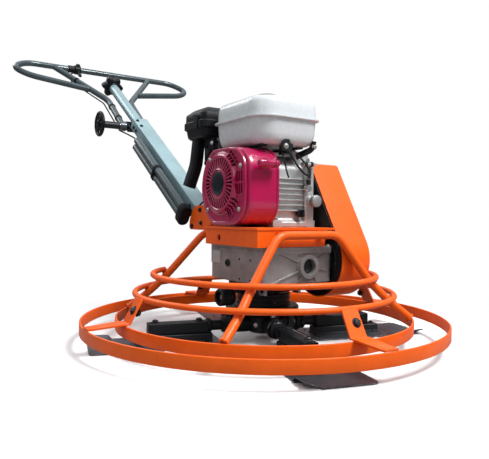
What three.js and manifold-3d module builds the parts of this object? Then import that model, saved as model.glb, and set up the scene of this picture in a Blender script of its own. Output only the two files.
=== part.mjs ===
// Walk-behind power trowel: guard rings, gearbox, four-blade rotor, petrol engine and tiller handle.
// Millimetres, +Z up. The origin is at floor level under the middle of the overall box.
// +X points along the crankshaft to the belt guard, and +Y points back to the operator.
// Inside the machine group every position is measured from the rotor axis at floor level.
import * as THREE from 'three';
import { mergeVertices } from 'three/addons/utils/BufferGeometryUtils.js';
import Module from 'manifold-3d';

const wasm = await Module();
wasm.setup();

// ---------------------------------------------------------------- driving dimensions
const ROTOR_Y = -374;
const GAP = 0.4;

const OUTER_RING_R = 460;
const OUTER_RING_Z = [33, 62];
const INNER_RING_R = 376;
const INNER_RING_Z = [38, 66.5];
const RING_STRIP = 5;
const LOWER_ROD = { r: 328, z: 123 };
const UPPER_ROD = { r: 284, z: 168 };
const UPPER_ROD_OPEN = 46;
const ROD_R = 7;
const HOOP_TUBE_R = 10;
const HOOP_BAR = { halfLength: 88, front: -182, rear: 156, z: 273 };
const HOOP_LEAN = { upper: 41, lower: 44, foot: 47 };
const STRAP_WIDTH = 42;
const STRAP_TURN = -3;

const DECK = { x: [-130, 68], y: [-160, 77], z: [244.6, 289.5], sheet: 5 };
const DECK_LEDGE = { x: [-40, 94], y: 100 };
const DECK_SHELF_X = 99;
const BASE_BOLTS = [[-3, -64], [63, -64], [-3, 64], [63, 64]];
const HANDLE_X = -30;
const CHEEK = { y: [150, 288], z: [276, 346], gap: 76.8, sheet: 5 };

const WORM = { y: -84, z: 205, r: 20 };
const WHEEL_R = 63;
const WHEEL_TEETH = 20;
const OIL_PORT = { x: 22, z: 197, r: 27.5, bore: 18 };
const GEARBOX = { x: [-110, 100], y: [-150, 86], z: [158, 236] };
const COVER_TOP = 243.8;
const OUTPUT_R = 15;

const CRANK_Z = 395.5;
const BASE_Z = DECK.z[1] + GAP;
const GUARD = { x: [106.6, 203], bottomR: 97, bottomZ: 208, topZ: 456, topHalf: 60, sheet: 3 };
const DRIVEN_R = 82;
const CLUTCH_R = 45;
const BELT = { x: [122, 142], thickness: 8 };

const ARM_ANGLES = [-105, -15, 75, 165];
const ARM_Z = 40;
const ARM_R = 13;
const ARM_REACH = [52, 300];
const BLADE = { from: 118, to: 440, half: 78, sheet: 3 };
const COLLAR = { z: [80, 122], plateR: 91, bodyR: 70 };
const YOKE = { y: -72, z: 135, x: 42, pinR: 7 };
const FINGER = { x: [58, 112], y: [26, 38], z: [67, 77] };

const HEAD_LEAN = -62;
const FAN = { x: [-124, -42], z: [BASE_Z + 2, 483], sheet: 3 };
const FAN_ROUNDS = [[-7, CRANK_Z - 4, 107], [-56, CRANK_Z + 24, 62], [-60, CRANK_Z - 43, 58]];
const RECOIL_ROUNDS = [[-5, CRANK_Z - 7, 105], [-46, CRANK_Z + 24, 62], [-50, CRANK_Z - 45, 58]];
const TANK = { x: [-104, 76], y: [-128, 88], floor: 488, seam: 549.5, top: 606, corner: 34 };
const TANK_RECESS = { y: 74, z: 504 };
const FILLER = { x: -4, y: -12, top: 611 };
const AIR_BOX = { x: [-130, -14], y: [98, 220], z: [524.5, 610] };
const MUFFLER = { x: [-4, 88], y: [98, 206], z: [548, 608] };
const CARB = { x: [-76, -34], y: 134, z: [484, 518] };
const OIL_FILLER = { x: 78, z: 355 };
const GOVERNOR = { x: 62, z: [386, 462] };
const GRIP_AT = [-84, -136, 438];
const SWITCH = { x: 44, z: 324 };

const HANDLE_BASE = { y: 257, z: 310 };
const HANDLE_TILT = THREE.MathUtils.degToRad(33.7);
const HANDLE_BOX = { width: 56, depth: 44, from: 10, to: 628, wall: 3 };
const PITCH_TUBE = { r: 19, bore: 10, to: 955 };
const PIVOT = { s: 659, n: -30, r: 8 };
const BAR_TILT = THREE.MathUtils.degToRad(3.5);
const BAR_TUBE_R = 11.5;
const BAR_TOP = 462;
const LIFT_POLE = { x: -56, from: 46, to: 480, r: 12 };

// ---------------------------------------------------------------- looks
const orange = { color: 0xe8550c, roughness: 0.38, metalness: 0.1 };
const castGrey = { color: 0x8f9294, roughness: 0.55, metalness: 0.6 };
const steel = { color: 0x8c8f93, roughness: 0.35, metalness: 0.9 };
const darkSteel = { color: 0x3a3d40, roughness: 0.5, metalness: 0.7 };
const blackPaint = { color: 0x17181a, roughness: 0.45, metalness: 0.2 };
const blackPlastic = { color: 0x1b1c1e, roughness: 0.55, metalness: 0 };
const rubber = { color: 0x121212, roughness: 0.85, metalness: 0 };
const magenta = { color: 0xb0195f, roughness: 0.25, metalness: 0.1 };
const tankWhite = { color: 0xe9ecee, roughness: 0.3, metalness: 0 };
const bluePaint = { color: 0x9db4bb, roughness: 0.35, metalness: 0.3 };
const slatePaint = { color: 0x3d474c, roughness: 0.4, metalness: 0.3 };
const bronze = { color: 0xa9803f, roughness: 0.4, metalness: 0.9 };

// ---------------------------------------------------------------- shape helpers
function toSolid(geometry) {
  const bare = (geometry.index ? geometry.toNonIndexed() : geometry.clone());
  bare.deleteAttribute('normal');
  bare.deleteAttribute('uv');
  const welded = mergeVertices(bare, 1e-4);
  const mesh = new wasm.Mesh({
    numProp: 3,
    vertProperties: new Float32Array(welded.attributes.position.array),
    triVerts: new Uint32Array(welded.index.array),
  });
  return new wasm.Manifold(mesh);
}

function toGeometry(solid) {
  const mesh = solid.getMesh();
  const geometry = new THREE.BufferGeometry();
  geometry.setAttribute('position', new THREE.BufferAttribute(mesh.vertProperties, 3));
  geometry.setIndex(new THREE.BufferAttribute(mesh.triVerts, 1));
  geometry.computeVertexNormals();
  return geometry;
}

function join(...geometries) {
  return toGeometry(geometries.map(toSolid).reduce((whole, piece) => whole.add(piece)));
}

function cut(geometry, ...cutters) {
  return toGeometry(cutters.map(toSolid).reduce((whole, piece) => whole.subtract(piece), toSolid(geometry)));
}

function box(xs, ys, zs) {
  const geometry = new THREE.BoxGeometry(xs[1] - xs[0], ys[1] - ys[0], zs[1] - zs[0]);
  return geometry.translate((xs[0] + xs[1]) / 2, (ys[0] + ys[1]) / 2, (zs[0] + zs[1]) / 2);
}

function aim(geometry, axis) {
  const turned = new THREE.Quaternion().setFromUnitVectors(new THREE.Vector3(0, 1, 0), axis);
  return geometry.applyQuaternion(turned);
}

const AXES = {
  x: new THREE.Vector3(1, 0, 0),
  y: new THREE.Vector3(0, 1, 0),
  z: new THREE.Vector3(0, 0, 1),
};

function rod(axis, radius, from, to, a, b, sides = 16) {
  const geometry = aim(new THREE.CylinderGeometry(radius, radius, to - from, sides), AXES[axis]);
  const middle = (from + to) / 2;
  if (axis === 'x') return geometry.translate(middle, a, b);
  if (axis === 'y') return geometry.translate(a, middle, b);
  return geometry.translate(a, b, middle);
}

function rodBetween(start, end, radius, sides = 12) {
  const from = new THREE.Vector3(...start);
  const span = new THREE.Vector3(...end).sub(from);
  const geometry = new THREE.CylinderGeometry(radius, radius, span.length(), sides);
  aim(geometry, span.clone().normalize());
  return geometry.translate(from.x + span.x / 2, from.y + span.y / 2, from.z + span.z / 2);
}

function turned(axis, profile, a, b, sides = 20) {
  const points = profile.map(([r, t]) => new THREE.Vector2(r, t));
  if (THREE.ShapeUtils.area(points) < 0) points.reverse();
  const geometry = aim(new THREE.LatheGeometry(points, sides), AXES[axis]);
  if (axis === 'x') return geometry.translate(0, a, b);
  if (axis === 'y') return geometry.translate(a, 0, b);
  return geometry.translate(a, b, 0);
}

function roundedPath(points, radius) {
  const corners = points.map((point) => new THREE.Vector3(...point));
  const path = new THREE.CurvePath();
  let start = corners[0];
  for (let i = 1; i < corners.length - 1; i++) {
    const before = corners[i - 1].clone().sub(corners[i]).setLength(radius).add(corners[i]);
    const after = corners[i + 1].clone().sub(corners[i]).setLength(radius).add(corners[i]);
    path.add(new THREE.LineCurve3(start, before));
    path.add(new THREE.QuadraticBezierCurve3(before, corners[i], after));
    start = after;
  }
  path.add(new THREE.LineCurve3(start, corners[corners.length - 1]));
  return path;
}

function tubeAlong(path, radius, steps, sides = 4) {
  const circle = new THREE.Shape().absarc(0, 0, radius, 0, Math.PI * 2);
  return new THREE.ExtrudeGeometry(circle, { extrudePath: path, steps, curveSegments: sides });
}

function slab(shape, depth) {
  return new THREE.ExtrudeGeometry(shape, { depth, bevelEnabled: false, curveSegments: 3 });
}

// Turns a slab drawn in (y, z) and extruded from 0 so that it runs from x onwards.
function slabAlongX(shape, x) {
  const swap = new THREE.Matrix4().set(0, 0, 1, x[0], 1, 0, 0, 0, 0, 1, 0, 0, 0, 0, 0, 1);
  return slab(shape, x[1] - x[0]).applyMatrix4(swap);
}

function polygon(points) {
  return new THREE.Shape(points.map(([a, b]) => new THREE.Vector2(a, b)));
}

function roundedRect(xs, ys, radius) {
  const shape = new THREE.Shape();
  shape.absarc(xs[1] - radius, ys[1] - radius, radius, 0, Math.PI / 2);
  shape.absarc(xs[0] + radius, ys[1] - radius, radius, Math.PI / 2, Math.PI);
  shape.absarc(xs[0] + radius, ys[0] + radius, radius, Math.PI, Math.PI * 1.5);
  shape.absarc(xs[1] - radius, ys[0] + radius, radius, Math.PI * 1.5, Math.PI * 2);
  return shape;
}

// Outline points that wrap a set of circles [a, b, radius] like a tight belt.
function wrapPoints(circles, sides) {
  const cloud = circles.flatMap(([a, b, r]) => Array.from({ length: sides }, (_, i) => {
    const angle = (i / sides) * Math.PI * 2;
    return [a + r * Math.cos(angle), b + r * Math.sin(angle)];
  }));
  cloud.sort((p, q) => p[0] - q[0] || p[1] - q[1]);
  const turn = (o, p, q) => (p[0] - o[0]) * (q[1] - o[1]) - (p[1] - o[1]) * (q[0] - o[0]);
  const half = (points) => {
    const chain = [];
    for (const point of points) {
      while (chain.length > 1 && turn(chain.at(-2), chain.at(-1), point) <= 1e-6) chain.pop();
      chain.push(point);
    }
    return chain.slice(0, -1);
  };
  return [...half(cloud), ...half([...cloud].reverse())];
}

function wrapOutline(circles, sides = 32) {
  return polygon(wrapPoints(circles, sides));
}

// ---------------------------------------------------------------- assembly helpers
const group = new THREE.Group();
const machine = new THREE.Group();
machine.position.y = ROTOR_Y;
group.add(machine);
const degrees = (angle) => THREE.MathUtils.degToRad(angle);

function add(name, geometry, look, parent = machine) {
  const mesh = new THREE.Mesh(geometry, new THREE.MeshStandardMaterial(look));
  mesh.name = name;
  parent.add(mesh);
  return mesh;
}

function frameAt(parent, position, turnX = 0, turnZ = 0) {
  const frame = new THREE.Group();
  frame.position.set(...position);
  frame.rotation.set(turnX, 0, turnZ);
  parent.add(frame);
  return frame;
}

// ---------------------------------------------------------------- guard rings
function flatRing(radius, heights) {
  const inner = radius - RING_STRIP;
  const profile = [[inner, heights[0]], [radius, heights[0]], [radius, heights[1]], [inner, heights[1]],
    [inner, heights[0]]];
  return turned('z', profile, 0, 0, 56);
}

function rodRing({ r, z }) {
  return new THREE.TorusGeometry(r, ROD_R, 5, 48).translate(0, 0, z);
}

// A hoop's legs lie against the inside of both rod rings and land on the inner ring.
function hoop(side) {
  const { halfLength, front, rear, z } = HOOP_BAR;
  const clear = (ROD_R + HOOP_TUBE_R) * 0.76;
  const { upper, lower, foot } = HOOP_LEAN;
  const leg = [[INNER_RING_R - 9, foot, INNER_RING_Z[1] + 0.6],
    [LOWER_ROD.r - clear, lower, LOWER_ROD.z - clear],
    [UPPER_ROD.r - clear, upper, UPPER_ROD.z - clear]];
  const half = leg.map(([r, lean, height]) => {
    const angle = degrees(lean);
    return [r * Math.sin(angle), side * r * Math.cos(angle), height];
  });
  half.push([halfLength, side < 0 ? front : rear, z]);
  const mirrored = half.map(([a, b, c]) => [-a, b, c]).reverse();
  return tubeAlong(roundedPath([...half, ...mirrored], 26), HOOP_TUBE_R, 38);
}

// The upper rod stops at the rear hoop, leaving the operator's side open.
function upperRod() {
  const { r, z } = UPPER_ROD;
  const opening = degrees(UPPER_ROD_OPEN);
  const from = Math.PI / 2 + opening;
  const sweep = 2 * (Math.PI - opening);
  const points = Array.from({ length: 57 }, (_, i) => {
    const angle = from + (i / 56) * sweep;
    return new THREE.Vector3(r * Math.cos(angle), r * Math.sin(angle), z);
  });
  return tubeAlong(new THREE.CatmullRomCurve3(points), ROD_R, 56);
}

// Bent strap from the lower rod over the inner ring and out onto the outer ring.
function ringBracket() {
  const half = 2.5;
  const shelf = INNER_RING_Z[1] + GAP + half;
  const lip = OUTER_RING_Z[1] + GAP + half;
  const line = [[LOWER_ROD.r + ROD_R + 4, LOWER_ROD.z + 3],
    [INNER_RING_R - 10, shelf], [INNER_RING_R + 6, shelf],
    [OUTER_RING_R - 12, lip], [OUTER_RING_R - 1, lip]];
  const upper = line.map(([r, z]) => [r + 1.4, z + half]);
  const lower = line.map(([r, z]) => [r - 1.4, z - half]).reverse();
  const strap = slab(polygon([...upper, ...lower]), STRAP_WIDTH);
  return strap.rotateX(Math.PI / 2).translate(0, STRAP_WIDTH / 2, 0);
}

function buildGuard() {
  add('outer_guard_ring', flatRing(OUTER_RING_R, OUTER_RING_Z), orange);
  add('inner_guard_ring', flatRing(INNER_RING_R, INNER_RING_Z), orange);
  add('lower_rod_ring', rodRing(LOWER_ROD), orange);
  add('upper_rod_ring', upperRod(), orange);
  add('front_hoop', hoop(-1), orange);
  add('rear_hoop', hoop(1), orange);
  const places = { front: -90, right: 0, rear: 90, left: 180 };
  for (const [place, angle] of Object.entries(places)) {
    const spoke = frameAt(machine, [0, 0, 0], 0, degrees(angle + STRAP_TURN));
    add(`ring_bracket_${place}`, ringBracket(), orange, spoke);
  }
}

// ---------------------------------------------------------------- deck and handle bracket
function engineDeck() {
  const { x, y, z, sheet } = DECK;
  const plate = [z[1] - sheet, z[1]];
  const top = box([x[0], DECK_SHELF_X], y, plate);
  const tongue = box([HANDLE_X - 38, HANDLE_X + 38], [y[1] - 1, CHEEK.y[1]], plate);
  const front = box(x, [y[0], y[0] + sheet], z);
  const rear = box(x, [y[1] - sheet, y[1]], z);
  const ledge = box(DECK_LEDGE.x, [y[1] - 1, DECK_LEDGE.y], plate);
  const left = box([x[0], x[0] + sheet], y, z);
  const bores = BASE_BOLTS.map(([a, b]) => rod('z', 4.5, plate[0] - 1, z[1] + 1, a, b, 12));
  return cut(join(top, tongue, ledge, front, rear, left), ...bores);
}

function handleBracket() {
  const { y, z, gap, sheet } = CHEEK;
  const floor = DECK.z[1] + GAP;
  const base = box([HANDLE_X - gap / 2 - sheet, HANDLE_X + gap / 2 + sheet], y, [floor, floor + sheet]);
  const outline = polygon([[y[0], floor], [y[0] + 22, floor], [y[0] + 30, z[0]], [y[1], z[0]],
    [y[1] - 2, z[1] - 40], [y[1] - 28, z[1] - 4], [y[1] - 54, z[1]], [y[0] + 34, z[1]],
    [y[0], floor + 24]]);
  const cheeks = [-1, 1].map((side) => {
    const inner = HANDLE_X + side * (gap / 2);
    const outer = inner + side * sheet;
    return slabAlongX(outline, [Math.min(inner, outer), Math.max(inner, outer)]);
  });
  return join(base, ...cheeks);
}

// ---------------------------------------------------------------- gearbox
function gearboxHousing() {
  const { x, y, z } = GEARBOX;
  const wall = 9;
  const block = slab(roundedRect(x, y, 12), z[1] - z[0]).translate(0, 0, z[0]);
  const boss = rod('z', 42, 150, z[0] + 1, 0, 0);
  const port = rod('y', OIL_PORT.r, y[0] - 10, y[0] + 2, OIL_PORT.x, OIL_PORT.z);
  const lugs = [-52, 52].map((a) => box([a - 4, a + 4], [YOKE.y - 12, YOKE.y + 12], [YOKE.z - 12, z[0] + 1]));
  const body = join(block, boss, port, ...lugs);
  const floorZ = z[0] + wall;
  const wheelRoom = rod('z', WHEEL_R + 5, floorZ, z[1] + 1, 0, 0, 28);
  const wormRoom = box([-78, 86], [WORM.y - 27, WORM.y + 30], [WORM.z - 27, z[1] + 1]);
  const shaftBore = rod('x', 10.6, -103, x[1] + 1, WORM.y, WORM.z, 14);
  const outputBore = rod('z', 32, 149, floorZ + 1, 0, 0);
  const portBore = rod('y', OIL_PORT.bore, y[0] - 11, y[0] + 8, OIL_PORT.x, OIL_PORT.z);
  const pinBore = rod('x', YOKE.pinR + 0.6, -60, 60, YOKE.y, YOKE.z);
  const tappedAt = [[-101, 164], [-101, 212], [-54, 164], [-54, 212]];
  const tapped = tappedAt.map(([a, b]) => rod('x', 3.4, x[0] - 1, x[0] + 7, a, b, 10));
  return cut(body, wheelRoom, wormRoom, shaftBore, outputBore, portBore, pinBore, ...tapped);
}

function gearboxCover() {
  const { x, y, z } = GEARBOX;
  const lid = slab(roundedRect(x, y, 12), COVER_TOP - z[1] - GAP).translate(0, 0, z[1] + GAP);
  const postTop = DECK.z[1] - DECK.sheet - GAP;
  const postAt = [[-96, -128], [-96, 56], [44, -128], [44, 56]];
  const posts = postAt.map(([a, b]) => rod('z', 12, COVER_TOP - 1, postTop, a, b));
  return join(lid, ...posts);
}

function toothedDisc(radius, root, teeth, z) {
  const outline = [];
  for (let i = 0; i < teeth; i++) {
    for (const [step, r] of [[0, root], [0.3, radius], [0.6, radius], [0.9, root]]) {
      const angle = ((i + step) / teeth) * Math.PI * 2;
      outline.push([r * Math.cos(angle), r * Math.sin(angle)]);
    }
  }
  return slab(polygon(outline), z[1] - z[0]).translate(0, 0, z[0]);
}

function wormShaft() {
  const thread = [[10, -46]];
  for (let t = -44; t < 44; t += 15) {
    thread.push([14, t], [WORM.r, t + 5], [WORM.r, t + 8], [14, t + 13]);
  }
  thread.push([10, 46]);
  const profile = [[0, -102], [10, -102], ...thread, [10, 150], [0, 150]];
  return turned('x', profile, WORM.y, WORM.z, 14);
}

function outputBearing() {
  const bore = OUTPUT_R + GAP;
  const profile = [[bore, 152], [31, 152], [31, 165], [bore, 165], [bore, 152]];
  return turned('z', profile, 0, 0, 32);
}

function buildGearbox() {
  add('gearbox_housing', gearboxHousing(), castGrey);
  add('gearbox_cover', gearboxCover(), castGrey);
  const wheel = toothedDisc(WHEEL_R, WHEEL_R - 6, WHEEL_TEETH, [192, 218]);
  add('worm_wheel', cut(wheel, rod('z', OUTPUT_R + GAP, 190, 220, 0, 0)), bronze);
  add('worm_shaft', wormShaft(), steel);
  add('output_shaft', rod('z', OUTPUT_R, 24, 230, 0, 0), steel);
  add('output_bearing', outputBearing(), steel);
}

// ---------------------------------------------------------------- belt drive and guard
function pulley(radius, hub, x, y, z, bore) {
  const middle = (x[0] + x[1]) / 2;
  const profile = [[bore, x[0]], [radius, x[0]], [radius, x[0] + 3], [radius - 9, middle], [radius, x[1] - 3],
    [radius, x[1]], [hub, x[1]], [hub, x[1] + 8], [bore, x[1] + 8], [bore, x[0]]];
  return turned('x', profile, y, z, 24);
}

function guardOutline(inset) {
  const corner = 12;
  const top = [GUARD.topHalf - corner, GUARD.topZ - corner, corner - inset];
  const clutchRoom = [0, CRANK_Z, 62 - inset];
  const bottom = [WORM.y, GUARD.bottomZ, GUARD.bottomR - inset];
  return wrapOutline([bottom, clutchRoom, top, [-top[0], top[1], top[2]]], 40);
}

function beltGuard() {
  const outside = slabAlongX(guardOutline(0), GUARD.x);
  const inside = slabAlongX(guardOutline(GUARD.sheet), [GUARD.x[0] - 1, GUARD.x[1] - GUARD.sheet]);
  return cut(outside, inside);
}

function guardBackPlate() {
  const plate = slabAlongX(guardOutline(4), [GUARD.x[0] - 3.4, GUARD.x[0] - GAP]);
  const x = [GUARD.x[0] - 6, GUARD.x[0] + 2];
  return cut(plate, rod('x', 24, ...x, WORM.y, WORM.z), rod('x', 30, ...x, 0, CRANK_Z));
}

function driveBelt() {
  const circles = (extra) => [[WORM.y, WORM.z, DRIVEN_R + extra], [0, CRANK_Z, CLUTCH_R + extra]];
  const middle = (BELT.x[0] + BELT.x[1]) / 2;
  const outside = slabAlongX(wrapOutline(circles(GAP + BELT.thickness), 48), [middle - 8, middle + 8]);
  const inside = slabAlongX(wrapOutline(circles(GAP), 48), [BELT.x[0] - 1, BELT.x[1] + 1]);
  return cut(outside, inside);
}

function clutchPulley() {
  const x = [BELT.x[1] + 0.01, 178];
  const drum = turned('x', [[38, x[0]], [52, x[0]], [52, x[1]], [48, x[1]], [48, x[0] + 6], [38, x[0] + 6],
    [38, x[0]]], 0, CRANK_Z, 28);
  return join(pulley(CLUTCH_R, 40, BELT.x, 0, CRANK_Z, 10.6), drum);
}

function buildDrive() {
  add('driven_pulley', pulley(DRIVEN_R, 20, BELT.x, WORM.y, WORM.z, 10.4), castGrey);
  add('clutch_pulley', clutchPulley(), darkSteel);
  add('drive_belt', driveBelt(), rubber);
  add('belt_guard', beltGuard(), orange);
  add('guard_back_plate', guardBackPlate(), blackPaint);
}

// ---------------------------------------------------------------- rotor
function spiderHub() {
  const hub = rod('z', 44, 18, 62, 0, 0);
  const sockets = ARM_ANGLES.map((angle) => rod('x', 22, 0, 96, 0, ARM_Z, 14).rotateZ(degrees(angle)));
  const bore = rod('x', ARM_R + GAP, ARM_REACH[0] - GAP, 99, 0, ARM_Z);
  const bores = ARM_ANGLES.map((angle) => bore.clone().rotateZ(degrees(angle)));
  return cut(join(hub, ...sockets), rod('z', OUTPUT_R + GAP, 10, 70, 0, 0), ...bores);
}

// Drawn along +X: the blade's leading edge is on the -Y side.
function trowelArm() {
  const shaft = rod('x', ARM_R, ARM_REACH[0], ARM_REACH[1], 0, ARM_Z);
  const flat = box([150, ARM_REACH[1] + 1], [-16, 16], [24, 30]);
  const { x, y, z } = FINGER;
  const clamp = [x[1] - 12, x[1]];
  const collar = rod('x', 19, ...clamp, 0, ARM_Z);
  const web = box(clamp, y, [ARM_Z - 4, z[1]]);
  const link = box(clamp, [10, y[1]], [ARM_Z - 6, ARM_Z + 6]);
  return join(shaft, flat, collar, web, link, box(x, y, z));
}

function trowelBlade() {
  const { from, to, half, sheet } = BLADE;
  const sheetPlate = slab(roundedRect([from, to], [-half, half], 8), sheet);
  const corner = polygon([[-half + 34, 0], [-half, 12], [-half, 12 + sheet], [-half + 34, sheet]]);
  const turnUp = slabAlongX(corner, [to - 60, to - 6]);
  const riser = box([140, 330], [-17, 17], [sheet - 0.5, 23.4]);
  const trimmed = cut(sheetPlate, box([to - 60, to + 1], [-half - 1, -half + 33.5], [-1, sheet + 1]));
  return join(trimmed, turnUp, riser);
}

function thrustCollar() {
  const { z, plateR, bodyR } = COLLAR;
  const bore = OUTPUT_R + GAP;
  const profile = [[bore, z[0]], [plateR, z[0]], [plateR, z[0] + 9], [bodyR, z[0] + 9], [bodyR, z[1] - 3],
    [bodyR - 3, z[1]], [bore, z[1]], [bore, z[0]]];
  return turned('z', profile, 0, 0, 28);
}

function pitchYoke() {
  const { y, z, x } = YOKE;
  const prongs = [-x, x].map((a) => box([a - 4, a + 4], [y - 6, 96], [z - 3, z + 7]));
  const pads = [-x, x].map((a) => rod('z', 6, COLLAR.z[1] + 1.2, z, a, 0, 12));
  const pin = rod('x', YOKE.pinR, -56, 56, y, z);
  const bridge = box([-x - 4, x + 4], [88, 98], [z - 3, z + 7]);
  const tail = box([-9, 9], [96, 128], [z - 3, z + 7]);
  const eye = cut(rod('x', 15, -7, 7, 134, z + 2, 14), rod('x', 8, -9, 9, 134, z + 2));
  return join(...prongs, ...pads, pin, bridge, tail, eye);
}

function buildRotor() {
  add('spider_hub', spiderHub(), blackPaint);
  add('thrust_collar', thrustCollar(), blackPaint);
  add('pitch_yoke', pitchYoke(), darkSteel);
  ARM_ANGLES.forEach((angle, i) => {
    const arm = frameAt(machine, [0, 0, 0], 0, degrees(angle));
    add(`trowel_arm_${i + 1}`, trowelArm(), blackPaint, arm);
    add(`trowel_blade_${i + 1}`, trowelBlade(), steel, arm);
  });
}

// ---------------------------------------------------------------- engine
function crankcase() {
  const outline = polygon([[-92, BASE_Z], [92, BASE_Z], [92, BASE_Z + 14], [74, BASE_Z + 22], [80, 430],
    [58, 468], [-40, 470], [-84, 440], [-90, 380], [-84, BASE_Z + 22], [-92, BASE_Z + 14]]);
  const body = slabAlongX(outline, [-38, 92]);
  const cover = turned('x', [[0, 91], [74, 91], [74, 95], [26, 99], [0, 99]], 0, CRANK_Z, 28);
  const bore = rod('x', 18, -40, 100, 0, CRANK_Z);
  const sump = box([-30, 84], [-66, 66], [BASE_Z + 8, 450]);
  const mouth = rod('x', 60, 70, 84, 0, CRANK_Z);
  const filler = rod('y', 13, -99, -80, OIL_FILLER.x, OIL_FILLER.z, 14);
  return cut(join(body, cover, filler), bore, sump, mouth);
}

// Drawn upright along +Z from the crank axis, then leaned back towards the operator.
function cylinderHead() {
  const lean = degrees(HEAD_LEAN);
  const finAt = [113, 124, 135, 146, 157];
  const fins = finAt.map((z) => box([-30, 68], [-48, 48], [z, z + 4]));
  const barrel = rod('z', 40, 108, 178, 19, 0);
  const head = box([-26, 64], [-40, 40], [166, 186]);
  const rocker = slab(roundedRect([-20, 58], [-32, 32], 12), 26).translate(0, 0, 185);
  return join(barrel, head, rocker, ...fins).rotateX(lean).translate(0, 0, CRANK_Z);
}

// Rounded towards the cylinder, squarer at the front, with a flat top and a flat foot.
function housingOutline(circles, inset) {
  const rounds = circles.map(([a, b, r]) => [a, b, r - inset]);
  const clip = (b) => Math.min(Math.max(b, FAN.z[0] + inset), FAN.z[1] - inset);
  const points = wrapPoints(rounds, 28).map(([a, b]) => [a, clip(b)]);
  return polygon(points.filter(([, b], i) => {
    const before = points.at(i - 1)[1];
    const after = points[(i + 1) % points.length][1];
    return b !== before || b !== after;
  }));
}

function fanHousing() {
  const { x, sheet } = FAN;
  const shell = slabAlongX(housingOutline(FAN_ROUNDS, 0), x);
  const shroud = box([-90, x[1]], [20, 128], [404, 446]);
  const room = slabAlongX(housingOutline(FAN_ROUNDS, 4), [x[0] + sheet, x[1] + 1]);
  const mouth = rod('x', 80, x[0] - 2, x[0] + sheet + 1, 0, CRANK_Z, 28);
  return cut(join(shell, shroud), room, mouth);
}

function recoilCover() {
  const rim = FAN.x[0] - GAP;
  const plate = slabAlongX(housingOutline(RECOIL_ROUNDS, 1), [-129, rim]);
  const dome = turned('x', [[0, -142], [60, -142], [70, -140], [76, -128], [0, -128]], 0, CRANK_Z, 28);
  const domeRoom = turned('x', [[0, -139], [59, -139], [67, -137], [72, -127], [0, -127]], 0, CRANK_Z, 28);
  const plateRoom = slabAlongX(housingOutline(RECOIL_ROUNDS, 5), [-127.5, rim + 1]);
  return cut(join(plate, dome), domeRoom, plateRoom);
}

function flywheelFan() {
  const count = 12;
  const profile = [[10.6, -76], [82, -76], [82, -70], [30, -62], [10.6, -62], [10.6, -76]];
  const plate = turned('x', profile, 0, CRANK_Z, 28);
  const vane = box([-100, -75], [-2, 2], [50, 81]);
  const vanes = Array.from({ length: count }, (_, i) => vane.clone()
    .rotateX((i / count) * Math.PI * 2).translate(0, 0, CRANK_Z));
  return join(plate, ...vanes);
}

function crankshaft() {
  const profile = [[0, -112], [10, -112], [10, -50], [14, -48], [14, 60], [10, 62], [10, 176], [0, 176]];
  return turned('x', profile, 0, CRANK_Z, 24);
}

function starterReel() {
  const profile = [[12, -136], [50, -136], [50, -134], [44, -132], [44, -126], [50, -124], [50, -122],
    [12, -122], [12, -136]];
  return turned('x', profile, 0, CRANK_Z, 28);
}

function starterGrip() {
  const bar = turned('x', [[0, -30], [8, -28], [11, -15], [9, 0], [11, 15], [8, 28], [0, 30]], 0, 0, 16);
  const neck = rod('y', 6, 0, 14, 0, 0, 12);
  return join(bar, neck).translate(...GRIP_AT);
}

function fuelTank() {
  const { x, y, floor, seam, top, corner } = TANK;
  const layer = (inset, from, to) => {
    const xs = [x[0] + inset, x[1] - inset];
    const ys = [y[0] + inset, y[1] - inset];
    return slab(roundedRect(xs, ys, corner - inset * 0.55), to - from).translate(0, 0, from);
  };
  const shell = join(layer(0, floor, seam + 1.5), layer(0, seam + 3.5, top - 10), layer(-7, seam, seam + 5),
    layer(10, top - 12, top), rod('z', 24, top - 9, FILLER.top, FILLER.x, FILLER.y));
  const recess = box([x[0] - 1, x[1] + 1], [TANK_RECESS.y, y[1] + 1], [floor - 1, TANK_RECESS.z]);
  const step = box(x, [TANK_RECESS.y - 4, y[1]], [floor, TANK_RECESS.z + 4]);
  const room = cut(layer(4, floor + 4, top - 14), step);
  return cut(shell, recess, room, rod('z', 20, top - 19, FILLER.top + 4, FILLER.x, FILLER.y));
}

function fuelCap() {
  const seat = FILLER.top + 1;
  const dome = [[0, seat], [30, seat], [30, seat + 8], [26, seat + 13], [10, seat + 16], [0, seat + 16]];
  return turned('z', dome, FILLER.x, FILLER.y, 32);
}

function carburettor() {
  const { x, y, z } = CARB;
  const middle = (x[0] + x[1]) / 2;
  const body = box(x, [y - 22, y + 22], z);
  const bowl = rod('z', 16, z[0] - 30, z[0] + 1, middle, y, 14);
  const intake = rod('x', 15, x[0] - 14, x[0] + 1, y, z[1] - 16, 14);
  return join(body, bowl, intake);
}

function airCleaner() {
  const { x, y, z } = AIR_BOX;
  const split = z[0] + 23.5;
  const cover = slab(roundedRect(x, y, 20), z[1] - split).translate(0, 0, split);
  const base = slab(roundedRect([x[0] + 6, x[1] - 6], [y[0] + 6, y[1] - 6], 18), 24).translate(0, 0, z[0]);
  const elbow = rodBetween([-100, 176, z[0] + 15.5], [-112, 196, 400], 19, 20);
  return join(cover, base, elbow);
}

function muffler() {
  const { x, y, z } = MUFFLER;
  const can = slab(roundedRect(x, y, 20), z[1] - z[0]).translate(0, 0, z[0]);
  const pipe = rod('z', 9, 470, z[0] + 1, x[1] - 9, 140, 12);
  return join(can, pipe);
}

function oilCap() {
  const body = rod('y', 10.5, -108, -99.4, OIL_FILLER.x, OIL_FILLER.z, 14);
  const head = rod('y', 15, -119, -107, OIL_FILLER.x, OIL_FILLER.z, 8);
  return join(body, head);
}

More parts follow.
